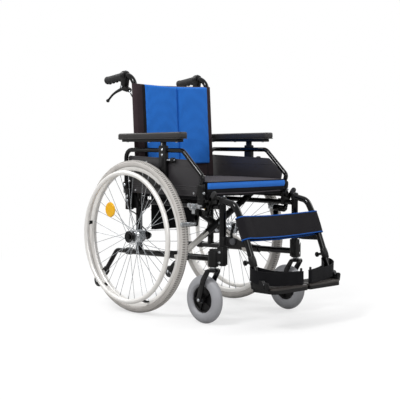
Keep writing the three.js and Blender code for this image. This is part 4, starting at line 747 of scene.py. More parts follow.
def casterHub():
    at = casterAxle
    rim = [(50.2, -10.4), (49, -11.6), (45.5, -10.6), (43.6, -8), (43.2, -4), (43.2, 4), (43.6, 8),
           (45.5, 10.6), (49, 11.6),
           (50.2, 10.4)]
    barrel = [(5.8, -20), (13.5, -20), (15, -18.6), (16, -10), (16.2, 0), (16, 10), (15, 18.6), (13.5, 20),
              (5.8, 20)]
    web = [(14, -2.2), (30, -3.2), (44, -2.2), (44, 2.2), (30, 3.2), (14, 2.2)]
    parts = [(lathe(rim, "x", at, 72), nylon), (lathe(barrel, "x", at, 36), nylon),
             (lathe(web, "x", at, 48), nylon)]
    for k in range(5):
        turn = 2 * math.pi * k / 5
        spoke = plate([(14, 0, 7), (44, 0, 8.5)], "x", -3.4, 3.4, 1.2)
        rib = plate([(12, 0, 1.6), (44, 0, 1.6)], "x", -10.5, 10.5, 0.8)
        matrix = Matrix.Translation(at) @ Matrix.Rotation(turn, 4, "X")
        parts += turnAll([(spoke, nylon), (rib, nylon)], matrix)
    for s in (-1, 1):
        parts.append((lathe([(5.8, s * 20), (11, s * 20), (11, s * 20.6), (5.8, s * 20.6)], "x", at, 28),
                      stainless))
    return turnAll(parts, casterPlace())


def casterFork():
    parts = []
    for s in (-1, 1):
        near, far = (26.4, 33.4) if s > 0 else (25, 30)
        for ends, slip in (([(2, 200.5, 10), (25, 166, 11)], 0),
                           ([(25, 166, 11), (caster["trail"], caster["radius"], 12.4)], 0.4)):
            low, high = sorted((s * (near + slip), s * (far - slip)))
            parts.append((slab(belt(ends), "x", low, high, 1.6, 2), enamel))
        parts += bolt((s * (far - 0.4), caster["trail"], caster["radius"]), (s, 0, 0), 4.4, 3)
    crown = belt([(-25, 1, 5), (28, 1, 5), (0, 0, 21.5)], 48)
    parts.append((slab(crown, "z", 199, 211, 2.6, 3), enamel))
    parts.append((rod((-29, caster["trail"], caster["radius"]), (29, caster["trail"], caster["radius"]), 5,
                      20), stainless))
    parts.append((lathe([(8, 211), (13.5, 211), (14, 212), (12, 213.5), (12, 217.6), (10.6, 218.4),
                         (8, 218.4)], "z", (0, 0, 0), 36), zinc))
    parts.append((rod((0, 0, 200), (0, 0, 262), 8, 24), zinc))
    return turnAll(parts, casterPlace())


def casterHousing():
    x, y = caster["x"], caster["y"]
    fx, fy = frameX, frontY
    body = [(9.2, 219), (17.5, 219), (19.2, 220.5), (19.6, 223), (19.6, 273), (18.6, 276.5), (16, 278),
            (9.2, 278)]
    parts = [(lathe(body, "z", (x, y, 0), 48), nylon)]
    parts.append((lathe([(0, 277.8), (14.6, 277.8), (14.4, 280), (12, 281.4), (6, 282.2), (0, 282.4)], "z",
                        (x, y, 0), 36), nylon))
    parts.append((plate([(fx + 3, fy, 15), (x, y, 15)], "z", 225, 285, 2.0), nylon))
    clamp = belt([(fx - 7.6, fy - 8, 7.6), (fx + 10, fy - 8, 7.6), (fx - 7.6, fy + 8, 7.6),
                  (fx + 10, fy + 8, 7.6)], 40)
    parts.append((slab(clamp, "z", 224.6, 294, 2.2, 2), nylon))
    for z in (235, 274):
        parts += bolt((fx + 21.5, fy - 3.5, z), (0.5, -0.86, 0), 4.8, 4.5)
        parts.append((rod((fx - 14, fy, z), (fx - 20, fy, z), 4.8, 6), nylon))
    return parts


addPair("CasterTyre", "caster", casterTyre, "caster_tyre")
addPair("CasterHub", "caster", casterHub, "caster_hub")
addPair("CasterFork", "swivel", casterFork, "caster_fork")
addPair("CasterHousing", "frame", casterHousing, "caster_housing")
print("casters made")

sideTubes = {
    "x": frameX, "lower": 12, "upright": 13, "rail": 10, "frontY": frontY, "rearY": rearY, "endY": 130,
    "lowFront": 246, "lowRear": 232,
    "railZ": 441, "frontTop": 452, "rearTop": 500,
}


def lowerAt(y):
    f = sideTubes
    return f["lowFront"] + (y - f["frontY"]) / (f["endY"] - f["frontY"]) * (f["lowRear"] - f["lowFront"])


# A weld bead round a tube where it meets another
def weld(at, way, radius, bead=1.8):
    at, way = Vector(at), Vector(way).normalized()
    u = way.orthogonal().normalized()
    v = way.cross(u)
    path = [at + (u * math.cos(t) + v * math.sin(t)) * radius * (1 + 0.012 * math.sin(9 * t))
            for t in [2 * math.pi * k / 28 for k in range(29)]]
    return sweep(path, bead, 8)


def sideFrame():
    f = sideTubes
    x, fy, ry = f["x"], f["frontY"], f["rearY"]
    parts = [
        (rod((x, f["endY"], f["lowRear"]), (x, fy, f["lowFront"]), f["lower"], 28), enamel),
        (rod((x, fy, 225), (x, fy, f["frontTop"]), f["upright"], 28), enamel),
        (rod((x, ry, lowerAt(ry) + 4), (x, ry, f["rearTop"]), f["upright"], 28), enamel),
        (rod((x, ry, f["railZ"]), (x, fy, f["railZ"]), f["rail"], 24), enamel),
        (weld((x, fy + 13.4, lowerAt(fy)), (0, 1, 0), 12.4), enamel),
        (weld((x, fy + 13, f["railZ"]), (0, 1, 0), 10.4), enamel),
        (weld((x, ry - 13, f["railZ"]), (0, 1, 0), 10.4), enamel),
        (weld((x, ry, lowerAt(ry) + 12.6), (0, 0, 1), 13.4), enamel),
        (plate([(ry, 305, 21), (0, 305, 16)], "x", x - 5, x + 5, 1.4), enamel),
        (plate([(44, 400, 5), (46, 436, 5), (-14, 434, 5), (-10, 424, 5)], "x", x - 3, x + 3, 1.0), enamel),
        (plate([(ry, 268, 15), (ry, 342, 15)], "x", x - 4.6, x + 4.6, 1.2), enamel),
        (rod((189, 0, 305), (216.6, 0, 305), 11, 28), zinc),
        (rod((x, -136, 239.92), (x, -242, 239.92), 15, 32), enamel),
        (weld((x, -150, 239.92 + 12), (0, 0, 1), 6), enamel),
    ]
    # plastic end cap of the lower tube, with its ribbed collar
    cap = [(x, y, lowerAt(y)) for y in (96, 100, 128, 131)]
    parts.append((sweep(cap, [12.6, 14.2, 14.2, 12.6], 28), nylon))
    for k in range(3):
        y = 106 + k * 7
        parts.append((sweep([(x, y, lowerAt(y)), (x, y + 2.5, lowerAt(y + 2.5))], 14.9, 28, edge=0.7),
                      nylon))
    parts.append((lathe([(10, 221), (12.4, 221), (13.4, 223), (13.6, 226), (13, 227)], "z", (x, fy, 0), 28),
                  nylon))
    top = [(x, ry, z) for z in (486, 489, 499, 503)]
    parts.append((sweep(top, [13.4, 14.8, 14.8, 12.2], 28), nylon))
    for z in (280, 330):
        parts += bolt((x + 4.6, ry, z), (1, 0, 0), 5)
    return parts


def railSaddles():
    parts = []
    x = sideTubes["x"]
    for y in (-388, 14):
        for low, high in eitherSide(x, 12.2, 15.6):
            parts.append((plate([(y + 4, 478, 4), (y + 10, 478, 4), (y + 4, 440, 4), (y + 10, 440, 4)], "x",
                                low, high, 0.7), nylon))
        parts.append((block(x - 15.4, x + 15.4, y + 0.3, y + 13.7, 430, 463.6, 2), nylon))
    return parts


def armSocket():
    x, y = 233, -351
    profile = [(10.6, 447), (14, 447), (15, 449), (15, 456), (14.2, 457), (14.2, 459), (15, 460), (15, 468),
               (14.2, 469),
               (14.2, 471), (15, 472), (15, 505), (15.9, 507), (15.9, 516), (15, 520), (13.8, 522.6),
               (12.4, 523.2), (10.6, 522.6)]
    parts = [(lathe(profile, "z", (x, y, 0), 40), nylon)]
    parts.append((block(frameX, x, y - 9, y + 9, 432, 454, 2), nylon))
    parts += bolt((x + 2, y - 15, 490), (0, -1, 0), 4.4, 3)
    parts.append((block(219, 247, y - 3, y + 3, 482, 499, 1.2), nylon))
    parts += bolt((x + 8, y - 8.6, 443), (0, -1, 0), 4, 3)
    return parts


def armHinge():
    y, z = 93, 508
    cheek = belt([(rearY, 428, 14), (y - 6, 424, 14), (y, z, 14)])
    parts = [(slab(cheek, "x", 211, 218, 1.2), nylon)]
    parts.append((block(217.5, 243, 64, 90, 408, 492, 3), nylon))
    parts.append((block(217.5, 240, 80, 106, 474, 521, 3), nylon))
    parts.append((rod((212, y, z), (245.6, y, z), 5, 20), zinc))
    parts += bolt((243.6, y, z), (1, 0, 0), 5.2, 3.2)
    parts += bolt((243, 77, 462), (1, 0, 0), 4.4, 3) + bolt((243, 77, 444), (1, 0, 0), 4.4, 3)
    return parts


addPair("SideFrame", "frame", sideFrame, "side_frame")
addPair("RailSaddles", "frame", railSaddles)
addPair("ArmSocket", "frame", armSocket)
addPair("ArmHinge", "frame", armHinge)
print("side frames made")

braceSet = {"x": frameX, "lowZ": 239.92, "railZ": 476, "tube": 11.5, "sleeve": 13, "from": 92, "rail": 11,
            "railFront": -390, "railRear": 30}


def braceArm(y, pin):
    b = braceSet
    low, high = Vector((-b["x"], y, b["lowZ"])), Vector((b["x"], y, b["railZ"]))
    way, length = (high - low).normalized(), (high - low).length
    split = length / 2 - b["from"]

    def along(far):
        return low + way * far

    def aside(turn, far):
        return (Vector((0, 1, 0)) * math.cos(turn) + way.cross(Vector((0, 1, 0))) * math.sin(turn)) * far

    parts = [
        (rod(along(14), along(split + 30), b["tube"], 28), silverCoat),
        (rod((-b["x"], y - 20, b["lowZ"]), (-b["x"], y + 20, b["lowZ"]), 18.4, 36, 1.2), silverCoat),
        (rod(along(split + 22), high - way * 4, b["sleeve"], 28), nylon),
        (rod((b["x"], b["railFront"], b["railZ"]), (b["x"], b["railRear"], b["railZ"]), b["rail"], 28),
         enamel),
    ]
    for k in range(4):  # long grooves show as raised strips between them
        off = aside(math.radians(25 + 90 * k), 12.4)
        parts.append((rod(along(split + 6) + off, high - way * 26 + off, 1.6, 8), nylon))
    parts.append((sweep([along(split + far) for far in (19, 22, 27, 29)], [13, 14, 14, 13], 28), nylon))
    for turn in (0.6, 2.2, 3.75, 5.35):  # fingers of the sleeve reach down along the bright tube
        off = aside(turn, 11.8)
        parts.append((rod(along(split - 8) + off, along(split + 22) + off, 1.9, 10), nylon))
    for end in (b["railFront"], b["railRear"]):
        s = 1 if end > 0 else -1
        cap = [(b["x"], end + s * far, b["railZ"]) for far in (-3, 0.2, 3)]
        parts.append((sweep(cap, [11.3, 11.4, 9], 24), nylon))
    if pin:
        mid = (b["lowZ"] + b["railZ"]) / 2
        parts.append((rod((0, -221, mid), (0, -157, mid), 5, 20), zinc))
        parts += bolt((0, -216, mid), (0, -1, 0), 8.4, 5) + bolt((0, -161.5, mid), (0, 1, 0), 8.4, 5)
    return parts


for name, node, body, y, side, pin in (("CrossBraceFront", "brace_a", "brace_front", -203, 1, True),
                                       ("CrossBraceRear", "brace_b", "brace_rear", -175, -1, False)):
    addPiece(name[0].lower() + name[1:], body, braceArm(y, pin), [node], side)
print("cross brace made")

caneSet = {"x": frameX, "radius": 11, "footZ": 388, "leanZ": 512, "topY": 77, "topZ": 962, "endY": 254,
           "endZ": 938, "bend": 58}


def handleAt(y):
    c = caneSet
    return c["topZ"] + (y - c["topY"]) / (c["endY"] - c["topY"]) * (c["endZ"] - c["topZ"])


def caneAt(z):
    c = caneSet
    return rearY + (z - c["leanZ"]) / (c["topZ"] - c["leanZ"]) * (c["topY"] - rearY)


def backCane():
    c = caneSet
    path = bentPath([(c["x"], rearY, c["footZ"]), (c["x"], rearY, c["leanZ"]),
                     (c["x"], c["topY"], c["topZ"]),
                     (c["x"], c["endY"], c["endZ"])], c["bend"], 6)
    return [(sweep(path, c["radius"], 28, edge=0.8), enamel)]


def pushGrip():
    x = caneSet["x"]
    parts = []
    path, radii = [], []
    steps = 84
    for k in range(steps + 1):
        y = 152 + 106 * k / steps
        rib = 0.6 * math.sin(2 * math.pi * y / 5.2) if 160 < y < 246 else 0
        swell = 14.6 + rib - 1.2 * math.exp(-((y - 152) / 3) ** 2) + (1.8 if 248 < y < 255 else 0)
        if y > 255:
            swell = 16.2 - (y - 255) ** 2 * 0.28
        path.append((x, y, handleAt(y)))
        radii.append(swell)
    parts.append((sweep(path, radii, 32), softGrip))
    pitch = (256 - 152 - 14) / 4
    for i in range(4):  # finger bumps under the grip
        y = 152 + pitch * (i + 0.75)
        shape = ballShape((0, 0, 0), 1, 20)
        bmesh.ops.transform(shape, verts=shape.verts[:], matrix=Matrix.Translation((x, y, handleAt(y) - 11))
                            @ Matrix.Diagonal((9, 9.5, 9, 1)))
        parts.append((shape, softGrip))
    for y, r in ((151, 15.4), (246.5, 15.9)):
        parts.append((sweep([(x, y, handleAt(y)), (x, y + 1, handleAt(y)), (x, y + 4, handleAt(y)),
                             (x, y + 5, handleAt(y))],
                            [r - 1, r, r, r - 1], 32), softGrip))
    return parts


def brakeHousing():
    x = caneSet["x"]
    parts = []
    for low, high in eitherSide(x, 5.4, 12):
        parts.append((plate([(136, 955, 17.6), (140, 914, 13.6)], "x", low, high, 3.0), nylon))
        parts.append((plate([(147, 905, 11), (133, 900, 10), (116, 894, 8.4)], "x", low, high, 2.4), nylon))
    parts.append((plate([(136, 955, 17.4), (138, 914, 13)], "x", x - 6, x + 6, 1.5), nylon))
    parts.append((plate([(133, 903, 9), (114, 893, 8)], "x", x - 6, x + 6, 1.5), nylon))
    parts.append((lathe([(12, 125), (17.2, 125), (18, 127), (18, 150), (17.2, 152), (12, 152)], "y",
                        (x, 0, 954), 36), nylon))
    parts.append((sweep([(x, 116, 896), (x, 107, 887), (x, 104, 883.5)], [5.6, 4.8, 3.8], 20), nylon))
    parts.append((sweep([(x, 108.4, 888.4), (x, 106.6, 886.6)], 5.6, 18), zinc))
    parts.append((rod((x - 12.4, 146, 908), (x + 12.4, 146, 908), 3.2, 16), zinc))
    parts += bolt((x + 12, 146, 908), (1, 0, 0), 4.2, 2.4) + bolt((x - 12, 146, 908), (-1, 0, 0), 4.2, 2.4)
    parts += bolt((x, 133, 973), (0, -0.3, 1), 3.6, 2)
    return parts


def brakeLever():
    x = caneSet["x"]
    spine = [(146, 908, 8.6), (157, 902, 8), (170, 896.6, 7), (184, 892.4, 6.2), (199, 887.2, 5.6),
             (214, 880.4, 5.3), (228, 871.8, 5.2),
             (240, 862.8, 5.2), (250, 855, 5.2)]
    points = curvePath([(x, y, z) for y, z, _ in spine], 5)
    sizes = []
    for i in range(len(points)):
        t = i / (len(points) - 1) * (len(spine) - 1)
        a, b = spine[int(t)], spine[min(int(t) + 1, len(spine) - 1)]
        sizes.append(a[2] + (b[2] - a[2]) * (t - int(t)))
    shape = sweep(points, sizes, 20)
    bmesh.ops.transform(shape, verts=shape.verts[:],
                        matrix=Matrix.Translation((x, 0, 0)) @ Matrix.Diagonal((0.72, 1, 1, 1))
                        @ Matrix.Translation((-x, 0, 0)))
    parts = [(shape, nylon), (ballShape((x, 252, 854), 7.6, 24), nylon)]
    parts.append((lathe([(3.4, x - 4.2), (8, x - 4.2), (8.6, x - 3), (8.6, x + 3), (8, x + 4.2),
                         (3.4, x + 4.2)], "x", (0, 146, 908), 28), nylon))
    return parts


cableRoute = [(202, 104, 884), (200, 99, 873), (196, 92, 858), (194.5, 84, 835), (194.5, 79.5, 740),
              (195, 72, 600), (196.5, 71, 550),
              (200, 77, 500), (206, 92, 462), (209, 101, 432), (215, 97, 410), (220, 80, 400),
              (222.5, 62, 397), (222, 44, 388),
              (220.5, 30, 366), (219.6, 12, 344), (219, -6, 332), (218.6, -13.4, 324)]


def brakeCable():
    parts = [(sweep(curvePath(cableRoute, 8), 2.5, 14), cableSleeve)]
    parts.append((sweep([(202, 105.4, 886), (202.6, 102, 880)], [3.6, 3.2], 16), zinc))
    parts.append((sweep([(218.8, -9, 329), (218.6, -13.4, 324), (218.5, -15, 321)], [3.2, 3.2, 2.6], 16),
                  nylon))
    return parts


addPair("BackCane", "frame", backCane, "back_cane")
addPair("PushGrip", "frame", pushGrip, "push_grip", sharp=50)
addPair("BrakeLeverHousing", "frame", brakeHousing)
addPair("BrakeLever", "brake_lever", brakeLever, "brake_lever", sharp=50)
addPair("BrakeCable", "frame", brakeCable, "brake_cable")
print("canes and grips made")

armSet = {"x": 233, "radius": 9, "rearY": 93, "frontY": -351, "topZ": 650, "topFrontY": -248, "kneeY": -362,
          "kneeZ": 548,
          "pivotZ": 508, "bend": 34}


def armHoop():
    a = armSet
    x = a["x"]
    path = bentPath([(x, a["rearY"], a["pivotZ"]), (x, a["rearY"], a["topZ"]),
                     (x, a["topFrontY"], a["topZ"]), (x, a["kneeY"], a["kneeZ"]),
                     (x, a["frontY"], 523), (x, a["frontY"], 492)], a["bend"], 6)
    parts = [(sweep(path, a["radius"], 26, edge=0.6), enamel)]
    parts.append((lathe([(5.8, x - 10), (12.6, x - 10), (13.4, x - 9), (13.4, x + 9), (12.6, x + 10),
                         (5.8, x + 10)], "x",
                        (0, a["rearY"], a["pivotZ"]), 32), nylon))
    # housing that the pad's post slides in: two shells round the post, bolted together
    outline = belt([(-159, 543, 5), (-128, 543, 5), (-128, 663, 5), (-159, 663, 5)])
    parts.append((slab(outline, "x", 231.8, 235, 1.2), nylon))
    parts.append((slab(outline, "x", 244, 247.2, 1.2), nylon))
    parts.append((block(234.5, 244.5, -164, -155.6, 538.5, 668, 1.2), nylon))
    parts.append((block(234.5, 244.5, -131.4, -123, 538.5, 668, 1.2), nylon))
    for z in (652, 632, 560):
        parts += bolt((247.2, -143.5, z), (1, 0, 0), 4, 2.6)
    parts.append((block(246.5, 249.2, -150, -137, 585, 622, 1.2), nylon))
    # height screw in front of the housing: star head on a bright collar
    parts.append((rod((239.5, -163, 612), (239.5, -191, 612), 4, 16), zinc))
    parts.append((lathe([(0, -206), (8, -206), (11, -203.6), (11.6, -198), (10, -192), (6.5, -189),
                         (0, -189)], "y", (239.5, 0, 612), 30,
                        wobble=lambda k, j: 1.6 * (0.5 + 0.5 * math.cos(2 * math.pi * k / 6)) if 1 < j < 5
                        else 0), nylon))
    parts += bolt((239.5, -206, 612), (0, -1, 0), 3, 2)
    return parts


def sideGuard():
    x0, x1 = 226.7, 230.8
    rear = 82
    outline = [(76, 627), (-268, 615), (-284, 605), (-342, 556), (-335, 523), (-318, 476.5), (68, 476.5),
               (68, 521), (rear, 528), (rear, 621)]
    parts = [(slab(outline, "x", x0 + 0.6, x1 - 0.6, 0.9, 2), absSheet)]
    for z, front, rise in ((479, -312, 1.5), (499, -318, 1.5), (506.5, -322, 1.2), (514, -324, 1.5),
                           (590, -290, 0.8)):
        for face in (x0 + 0.6, x1 - 0.6):  # moulded ribs run along the sheet on both faces
            parts.append((sweep([(face, front, z), (face, front + 3, z), (face, 57, z), (face, 60, z)],
                                [rise * 0.5, rise, rise, rise * 0.5], 10), absSheet))
    rim = [(x1 - 2, y, z) for y, z in [(-262, 611), (72, 622.5), (77.5, 616), (77.5, 531)]]
    parts.append((sweep(bentPath(rim, 4), 2.0, 10), absSheet))
    for y, z in ((-30, 602), (55, 606), (40, 488), (-306, 488)):
        parts.append((lathe([(0, x1 - 0.6), (4.6, x1 - 0.6), (4.4, x1 + 0.4), (3, x1 + 1.1), (0, x1 + 1.3)],
                            "x", (0, y, z), 20), zinc))
    return parts


def armPad():
    x = 241
    plan = belt([(x - 11, -251, 12), (x + 11, -251, 12), (x - 11, 102, 12), (x + 11, 102, 12)], 56)
    pad = slab(plan, "z", 691.5, 717, 7, 5)
    for vert in pad.verts:  # the pad rises a little to the front
        vert.co.z -= vert.co.y * 0.014
    parts = [(pad, padSkin)]
    parts.append((loopCord([Vector((u, v, 695.6)) for u, v in plan], 1.4), padSkin))
    parts.append((slab(belt([(x - 10, -236, 9), (x + 10, -236, 9), (x - 10, 84, 9), (x + 10, 84, 9)], 40),
                       "z", 682, 694.5, 2.4, 2), nylon))
    parts.append((block(234.4, 244.6, -156, -130, 561, 684, 1.4), nylon))
    for z in (676, 671):
        parts += bolt((244.2, -139, z), (1, 0, 0), 2.6, 1.6)
    for y in (-222, -60, 74):
        parts.append((lathe([(0, 680), (4.5, 680.4), (5, 681.4), (5, 683), (0, 683)], "z", (x, y, 0), 20),
                      zinc))
    for z in (585, 600):
        parts.append((rod((235, -143.5, z), (244, -143.5, z), 3, 14), nylon))
    return parts


addPair("ArmHoop", "armrest", armHoop, "armrest_hoop")
addPair("SideGuard", "armrest", sideGuard, "side_guard")
addPair("ArmPad", "pad", armPad, "armrest_pad", sharp=45)
print("arm rests made")


def lockBracket():
    x0, x1 = 212.4, 217
    parts = [(slab(belt([(-364, 412, 13), (-318, 414.5, 13)]), "x", x0, x1, 0.8), enamel)]
    parts.append((block(x0, x1, -326, -280, 408, 449, 1.0), zinc))
    for y, z in ((-364, 412), (-318, 421)):  # pins of lever and shoe arm
        parts.append((rod((x0, y, z), (229.6, y, z), 4, 18), zinc))
        parts.append((rod((227.1, y, z), (230.4, y, z), 6.4, 24, 0.8), nylon))
    for z in (442.5, 429.5):
        parts.append((rod((x1, -286.5, z), (229, -286.5, z), 4, 16), zinc))
        parts.append((lathe([(0, 226.4), (6.6, 226.4), (6.8, 228.4), (5, 229.6), (0, 229.8)], "x",
                            (0, -286.5, z), 20), zinc))
    parts.append((plate([(-300, 436, 9), (-262, 440, 9)], "x", x0 + 0.2, x0 + 3.8, 0.7), zinc))
    return parts


def lockLever():
    blade = [(-364, 412, 9.4), (-370, 430, 8.4), (-379, 450, 8), (-391, 468, 8.6), (-403, 482, 10.4),
             (-409, 488, 10.8)]
    parts = []
    for a, b in zip(blade, blade[1:]):
        parts.append((plate([a, b], "x", 219.4, 225.6, 1.4), nylon))
    parts.append((plate([(-403, 482, 9.8), (-410, 489, 10.2)], "x", 218.2, 227, 2.6), softGrip))
    return parts


def lockShoe():
    blade = [(-318, 421, 9.4), (-314, 396, 11.6), (-310, 373, 10.8)]
    parts = [(plate([a, b], "x", 219.4, 225.6, 1.2), nylon) for a, b in zip(blade, blade[1:])]
    parts.append((rod((219.2, -310, 373), (299, -310, 373), 7, 24, 1), zinc))
    for k in range(12):
        far = 248 + k * 4
        parts.append((lathe([(6.6, far), (7.5, far + 0.6), (7.5, far + 1.8), (6.6, far + 2.4)], "x",
                            (0, -310, 373), 24), zinc))
    return parts


addPair("WheelLockBracket", "frame", lockBracket, "lock_bracket")
addPair("WheelLockLever", "lock_lever", lockLever, "lock_lever")
addPair("WheelLockShoe", "lock_shoe", lockShoe, "lock_shoe")
print("wheel locks made")

legSet = {"x": frameX, "upY": frontY, "topY": -524, "topZ": 408, "endY": -596, "endZ": 232, "tube": 12}
legDown = Vector((0, legSet["endY"] - legSet["topY"], legSet["endZ"] - legSet["topZ"])).normalized()
legOut = Vector((0, legDown.z, -legDown.y))  # square to the leg, forwards


def legAt(along):
    return Vector((legSet["x"], legSet["endY"], legSet["endZ"])) + legDown * along


def hanger():
    x, uy = legSet["x"], legSet["upY"]
    path = bentPath([(x, uy - 1, 464), (x, -498, 452), (x, legSet["topY"], legSet["topZ"]),
                     (x, legSet["endY"], legSet["endZ"])], 46, 6)
    parts = [(sweep(path, legSet["tube"], 28, edge=0.6), enamel)]
    parts.append((lathe([(0, 452.4), (13, 452.4), (14.4, 453.6), (14.5, 470), (14, 476), (12.4, 478.6),
                         (8, 479.6), (0, 480)], "z",
                        (x, uy, 0), 36), nylon))
    parts.append((lathe([(13.6, 455), (15.2, 456), (15.2, 459), (13.6, 460)], "z", (x, uy, 0), 36), nylon))
    parts.append((rod((x, uy, 414), (x, uy, 460), 8, 20), zinc))
    parts.append((lathe([(0, 479), (3.4, 479), (3.4, 482.6), (2.4, 484), (0, 484.3)], "z", (x, uy - 8, 0),
                        16), zinc))
    # half cuff that hooks round the front upright, with its web plate to the leg
    arc = [(uy + 17.2 * math.cos(t), x + 17.2 * math.sin(t))
           for t in [math.pi / 2 + math.pi * k / 20 for k in range(21)]]
    inner = [(uy + 13.9 * math.cos(t), x + 13.9 * math.sin(t))
             for t in [3 * math.pi / 2 - math.pi * k / 20 for k in range(21)]]
    cuff = slab([(b, a) for a, b in arc + inner], "z", 299.5, 330.5, 0.8)
    parts.append((cuff, nylon))
    web = belt([(uy - 17, 315, 15.6), (-478, 315, 18.6), (-567, 306, 6)])
    parts.append((slab(web, "x", x - 2.9, x + 2.9, 0.9), nylon))
    for low, high in eitherSide(x, 2.6, 4.8):
        parts.append((plate([(-478, 315, 14)], "x", low, high, 1.0), nylon))
        parts.append((plate([(-455, 318, 3), (-462, 300, 3)], "x", low, high, 0.8), nylon))
    parts.append((rod((x + 4.6, -492, 318), (x + 8.4, -492, 318), 16.4, 36, 2.2), greyNylon))
    parts.append((rod((x + 8, -492, 318), (x + 9.6, -492, 318), 11.2, 30, 0.7), greyNylon))
    # clamp of the extension: ribbed boss, T screw
    for spans, radii in (((-38, -36, -2, 0), [12.2, 13.4, 13.4, 12.2]),
                         ((-31, -28, -11, -8), [13.2, 14.2, 14.2, 13.2])):
        parts.append((sweep([legAt(far) for far in spans], radii, 32), nylon))
    base = legAt(-19)
    back = Vector((0, 0.98, -0.2))
    for spans, radii, sides in (((9, 36, 37.5), [5.4, 5, 5], 24),
                                ((34, 35.4, 41, 42.6), [8, 9.4, 9.6, 8], 28)):
        parts.append((sweep([base + back * far for far in spans], radii, sides), nylon))
    for k in range(10):  # fine ribs round the knob's head
        turn = 2 * math.pi * k / 10
        off = (Vector((1, 0, 0)) * math.cos(turn) + Vector((0, 0.2, 0.98)) * math.sin(turn)) * 9.1
        parts.append((rod(base + back * 35.6 + off, base + back * 41 + off, 1.2, 8), nylon))
    return parts


def hangerLatch():
    line = [(-492, 318, 7.8), (-487.5, 333, 5.6), (-486, 345, 5), (-490, 358, 5.2), (-496, 372, 6),
            (-499, 379, 6)]
    return [(plate([a, b], "x", 205.8, 211.4, 1.4), nylon) for a, b in zip(line, line[1:])]


def footExtension():
    x = legSet["x"]
    parts = [(rod(legAt(-88), legAt(50), 9.5, 26), enamel)]
    for k in range(4):
        spot = legAt(6 + k * 8)
        parts.append((rod(spot + legOut * -9.2, spot + legOut * -9.7, 2.2, 12, 0), zinc))
    body = belt([(-642.5, 162.5, 9.3), (-605.5, 162.5, 9.3), (-633, 178.5, 9.3), (-605.5, 178.5, 9.3)])
    parts.append((slab(body, "x", x - 9.3, x + 9.3, 2.0), nylon))
    parts.append((sweep([legAt(34), legAt(36), legAt(44)], [11, 12.6, 12.6], 28), nylon))
    parts.append((rod((x, -661, 172), (x, -586.5, 172), 4, 18), zinc))
    parts += bolt((x, -661.5, 172), (0, -1, 0), 4.6, 2.6, nylon)
    parts += bolt((x + 9, -620, 176), (1, 0, 0), 4.2, 2.4, nylon)
    return parts


def footPlate():
    x = frameX
    rim = belt([(12, -679, 6), (12, -584, 6), (186, -584, 6), (166, -661, 24)], 40)
    # the top slab and its tread ridges take the paler plate skin: painted sheen on the top, over the black
    # nylon wall
    parts = [(slab(rim, "z", 150, 158, 1.6, 2), plateSkinSheen)]
    inner = belt([(18, -673, 5), (18, -590, 5), (180, -590, 5), (163, -658, 20)], 40)
    parts.append((slabRing(rim, inner, 138, 151), nylon))
    for k in range(5):
        at = 48 + 28 * k
        parts.append((block(at - 1.6, at + 1.6, -680, -583, 139, 151, 0.6), nylon))
    for k in range(9):  # tread ridges on top
        y = -671 + k * 10.4
        parts.append((block(34, 176, y - 1.5, y + 1.5, 157.4, 158.9, 0.6), plateSkinSheen))
    for low, high in ((-662.6, -652.6), (-595.4, -585.4)):
        lug = belt([(172, x, 9), (153, 193, 3.4), (153, 203.6, 3.4)])
        parts.append((slab(lug, "y", low, high, 1.2), nylon))
    parts.append((sweep([(26, -667, 152), (26, -667, 217), (26, -667, 219)], [4.5, 4.5, 3.4], 18), nylon))
    parts.append((lathe([(4, 157.6), (8, 157.6), (7, 160.5), (4.4, 163)], "z", (26, -667, 0), 20), nylon))
    return parts


# Wall between two outlines, open above and below
def slabRing(outer, inner, low, high):
    def rows(outline, z):
        return [Vector((u, v, z)) for u, v in outline]

    count = 96

    def resample(outline):
        lengths = [math.dist(a, b) for a, b in zip(outline, outline[1:] + outline[:1])]
        total, out, i, walked = sum(lengths), [], 0, 0.0
        for k in range(count):
            target = total * k / count
            while walked + lengths[i] < target:
                walked += lengths[i]
                i += 1
            t = (target - walked) / lengths[i]
            a, b = outline[i], outline[(i + 1) % len(outline)]
            out.append((a[0] + (b[0] - a[0]) * t, a[1] + (b[1] - a[1]) * t))
        return out

    o, n = resample(outer), resample(inner)
    start = min(range(count), key=lambda k: math.dist(n[k], o[0]))
    n = n[start:] + n[:start]
    points = rows(o, low) + rows(o, high) + rows(n, high) + rows(n, low)
    faces = []
    for ring in range(4):
        after = (ring + 1) % 4
        for k in range(count):
            j = (k + 1) % count
            faces.append((ring * count + k, ring * count + j, after * count + j, after * count + k))
    return solidFrom(points, faces)


# Heel loop: a closed band round the plate's post and the foot of the leg, higher at the leg
heelSet = {"low": 161, "high": 206, "thick": 2.6, "line": [
    (18, -669, 0), (26, -674.5, 0), (60, -668, 0), (100, -660, 1), (140, -652, 3), (180, -642, 7),
    (208, -629, 12), (221, -612, 18),
    (219, -594, 24), (206, -582, 27), (192, -583, 25), (176, -600, 20), (150, -628, 11), (120, -641, 6),
    (80, -651, 2), (44, -658, 0), (24, -661, 0)]}


def heelLoop():
    h = heelSet
    spine = curvePath(h["line"] + h["line"][:1], 7)[:-1]
    grid = []
    for i in range(11):
        t = i / 10
        row = []
        for k, here in enumerate(spine):
            ripple = crease((k * 6, t * 40), 40, 60, 1.6, 12.0)
            level = h["low"] + here.z + (h["high"] - h["low"]) * t
            row.append(Vector((here.x, here.y, level)) + Vector((0, ripple, 0)) * math.sin(math.pi * t))
        grid.append(row)
    band = clothSkin(grid, lambda i, j: h["thick"], loop=True)
    parts = [(band, webbing)]
    for row in (grid[0], grid[-1]):
        parts.append((loopCord(row, 1.9), webbing))
    return parts


addPair("Hanger", "hanger", hanger, "hanger")
addPair("HangerLatch", "latch", hangerLatch, "hanger_latch")
addPair("FootExtension", "extension", footExtension, "foot_extension")
addPair("FootPlate", "foot", footPlate, "foot_plate")
for loop, side in zip(addPair("HeelLoop", "foot", heelLoop, "heel_loop"), ("left", "right")):
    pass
print("leg rests made")

